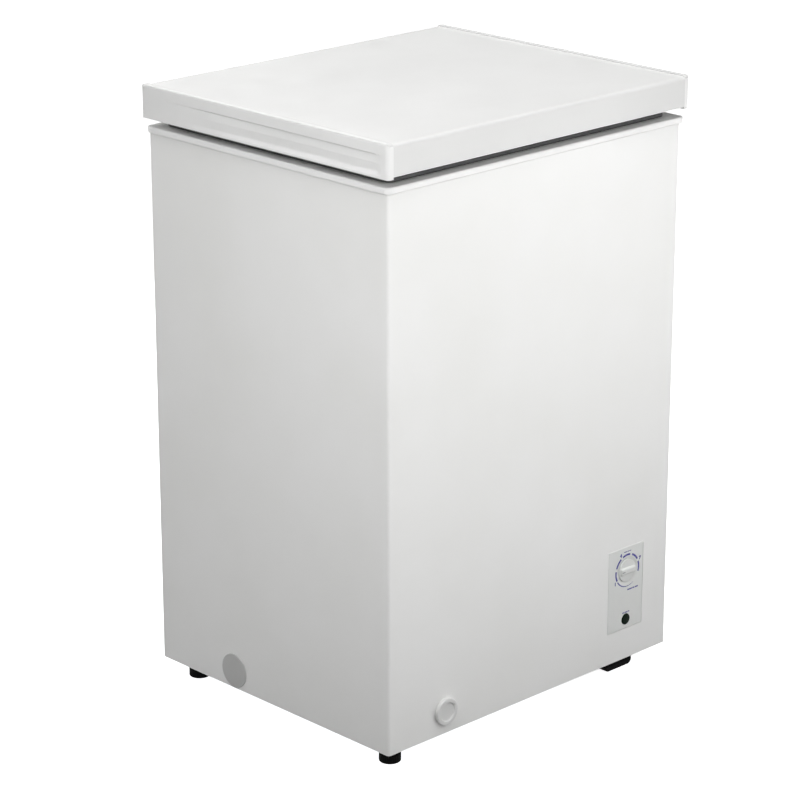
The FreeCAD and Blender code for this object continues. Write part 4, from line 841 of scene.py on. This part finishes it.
def makeRoundFoot(node, pieceName):
    f = roundFoot
    low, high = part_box(node)
    at = middle(node)
    radius = (high[0] - low[0]) / 2 / mm
    tall = (high[2] - low[2]) / mm
    pad, neck = f["padHigh"], f["neckRadius"]
    under = [(0, 0.6), (radius - 4.0, 0.6), (radius - 3.0, 0)]
    lower = arcPoints(radius - f["bottomRound"], f["bottomRound"], f["bottomRound"], -90, 0, 5)
    upper = arcPoints(radius - f["topRound"], pad - f["topRound"], f["topRound"], 0, 90, 4)[1:]
    post = [(neck + 1.6, pad), (neck + 0.4, pad + 0.5), (neck, pad + 1.6), (neck, tall), (0, tall)]
    bm = bmesh.new()
    turned = revolve(bm, under + lower + [(radius, pad - 1.6)] + upper + post, (at.x, at.y, low[2]),
                     (0, 0, 1), 180)
    for vertex in turned:
        x, y, up = vertex.co.x - at.x, vertex.co.y - at.y, (vertex.co.z - low[2]) / mm
        if math.hypot(x, y) > (radius - 0.3) * mm and 1.5 < up < pad:
            wave = 0.5 + 0.5 * math.cos(f["lobes"] * math.atan2(y, x))
            shrink = 1 - f["lobeDeep"] / radius * wave ** 2
            vertex.co.x = at.x + x * shrink
            vertex.co.y = at.y + y * shrink
    finishPiece(pieceName, bm, footPlastic, "cabinet", (node,), 50.0)


blockFoot = {"lowerRound": 8.0, "edgeRound": 1.4, "grooveWide": 2.0, "grooveDeep": 1.0, "grooveRound": 0.4,
             "firstGroove": 8.0, "groovePitch": 6.0, "grooves": 3, "cutterPast": 10.0}


def makeBlockFoot(node, pieceName):
    f = blockFoot
    low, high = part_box(node)
    bm = bmesh.new()
    made = bmesh.ops.create_cube(bm, size=1.0)
    size = Vector(high) - Vector(low)
    place = Matrix.Translation((Vector(low) + Vector(high)) / 2) @ Matrix.Diagonal((*size, 1.0))
    bmesh.ops.transform(bm, matrix=place, verts=made["verts"])
    lower = [e for e in bm.edges if all(v.co.z < low[2] + mm for v in e.verts)
             and abs(e.verts[0].co.x - e.verts[1].co.x) < mm]
    bmesh.ops.bevel(bm, geom=lower, offset=f["lowerRound"] * mm, segments=8, profile=0.5,
                    affect="EDGES", material=-1)
    sharp = [e for e in bm.edges if e.is_manifold and e.calc_face_angle() > math.radians(60)]
    bmesh.ops.bevel(bm, geom=sharp, offset=f["edgeRound"] * mm, segments=3, profile=0.5,
                    affect="EDGES", material=-1)
    cuts = []
    past, deep = f["cutterPast"] * mm, f["grooveDeep"] * mm
    for i in range(f["grooves"]):
        cut = bmesh.new()
        z = low[2] + (f["firstGroove"] + i * f["groovePitch"]) * mm
        roundedBlock(cut, (low[0] - past, low[1] - deep, z),
                     (high[0] + past, low[1] + deep, z + f["grooveWide"] * mm), f["grooveRound"], 2)
        cuts.append(cut)
    finishPiece(pieceName, bm, footPlastic, "cabinet", (node,), 32.0, cuts)


print("feet")
makeRoundFoot("foot_front_left", "footFrontLeft")
makeRoundFoot("foot_rear_left", "footRearLeft")
makeBlockFoot("foot_front_right", "footFrontRight")
makeBlockFoot("foot_rear_right", "footRearRight")


# stage, light and camera

stageLook = {"tones": ("#FBFBFB", "#FFFFFF"), "toneNoise": (900.0, 2.0), "floorGlow": 0.93,
             "worldGlow": 0.1, "floorHalf": 40.0, "domeRadius": 38.0}
# each light is its place, what it aims at, its two sides and its watts
studioLights = {
    "overhead": ((0.0, 0.0, 3.2), (0, 0, 0.8), (3.0, 3.0), 80),
    "rearHigh": ((0.2, 1.6, 2.2), (0, 0.1, 0.85), (1.6, 1.0), 15),
    "corner": ((-1.5, -1.6, 1.8), (-0.2, -0.2, 0.6), (1.0, 1.0), 3.4),
    "frontStrip": ((0.1, -1.1, 1.45), (0, -0.25, 0.75), (1.4, 0.4), 2.2),
    "frontEdge": ((0.15, -1.0, 0.66), (0, -0.25, 0.66), (1.4, 0.25), 4.9),
    "sideStrip": ((-1.1, -0.25, 1.45), (-0.27, 0, 0.75), (1.2, 0.4), 4.0),
    "sideEdge": ((-1.0, -0.3, 0.72), (-0.27, 0, 0.72), (1.2, 0.25), 2.4),
    # low lights that reach only the rear and the right side
    "rearFill": ((0.5, 1.9, 0.42), (0.0, 0.25, 0.42), (1.6, 0.7), 13),
    "rightFill": ((1.9, 0.2, 0.42), (0.27, 0.0, 0.42), (1.4, 0.7), 7),
}
# the camera's place is measured from the cabinet's left front corner on the floor
cameraLook = {"lens": 134.6, "sensorMm": 36.0, "clipEnd": 100.0, "away": (-2.457, -2.555, 1.692),
              "tiltDown": 0.3266, "turn": -0.770}


def makeStage():
    bm = bmesh.new()
    bmesh.ops.create_grid(bm, x_segments=1, y_segments=1, size=stageLook["floorHalf"])
    mesh = bpy.data.meshes.new("floor")
    bm.to_mesh(mesh)
    bm.free()
    floor = bpy.data.objects.new("floor", mesh)
    scene.collection.objects.link(floor)
    # pale matt floor paint that glows a little, so that it stays white
    material, tree, shader, at = newMaterial("floorPaint", {
        "Roughness": 0.8, "Specular IOR Level": 0.1, "Emission Color": (1, 1, 1, 1),
        "Emission Strength": stageLook["floorGlow"]})
    dressSurface(tree, shader, at, stageLook)
    mesh.materials.append(material)
    floor.visible_diffuse = False

    # a far white dome closes the view above the floor, and takes no part in the light
    bm = bmesh.new()
    bmesh.ops.create_uvsphere(bm, u_segments=64, v_segments=32, radius=stageLook["domeRadius"])
    mesh = bpy.data.meshes.new("backdrop")
    bm.to_mesh(mesh)
    bm.free()
    mesh.materials.append(material)
    dome = bpy.data.objects.new("backdrop", mesh)
    scene.collection.objects.link(dome)
    dome.visible_diffuse = False
    dome.visible_glossy = False
    dome.visible_transmission = False
    dome.visible_shadow = False


def areaLight(name, place, aim, size, watts):
    data = bpy.data.lights.new(name, "AREA")
    data.shape = "RECTANGLE"
    data.size, data.size_y = size
    data.energy = watts
    light = bpy.data.objects.new(name, data)
    light.location = place
    light.rotation_euler = (Vector(aim) - Vector(place)).to_track_quat("-Z", "Y").to_euler()
    light.visible_camera = False
    scene.collection.objects.link(light)


print("stage, light and camera")
makeStage()
world = bpy.data.worlds.new("studio")
world.use_nodes = True
world.node_tree.nodes["Background"].inputs["Color"].default_value = (1, 1, 1, 1)
world.node_tree.nodes["Background"].inputs["Strength"].default_value = stageLook["worldGlow"]
scene.world = world
for lightName, setting in studioLights.items():
    areaLight(lightName, *setting)

cameraData = bpy.data.cameras.new("camera")
cameraData.lens = cameraLook["lens"]
cameraData.sensor_width = cameraLook["sensorMm"]
cameraData.clip_end = cameraLook["clipEnd"]
camera = bpy.data.objects.new("camera", cameraData)
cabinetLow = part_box("outer_wrapper")[0]
camera.location = [corner + away for corner, away in zip(cabinetLow, cameraLook["away"])]
camera.rotation_euler = (math.pi / 2 - cameraLook["tiltDown"], 0.0, cameraLook["turn"])
scene.collection.objects.link(camera)
scene.camera = camera
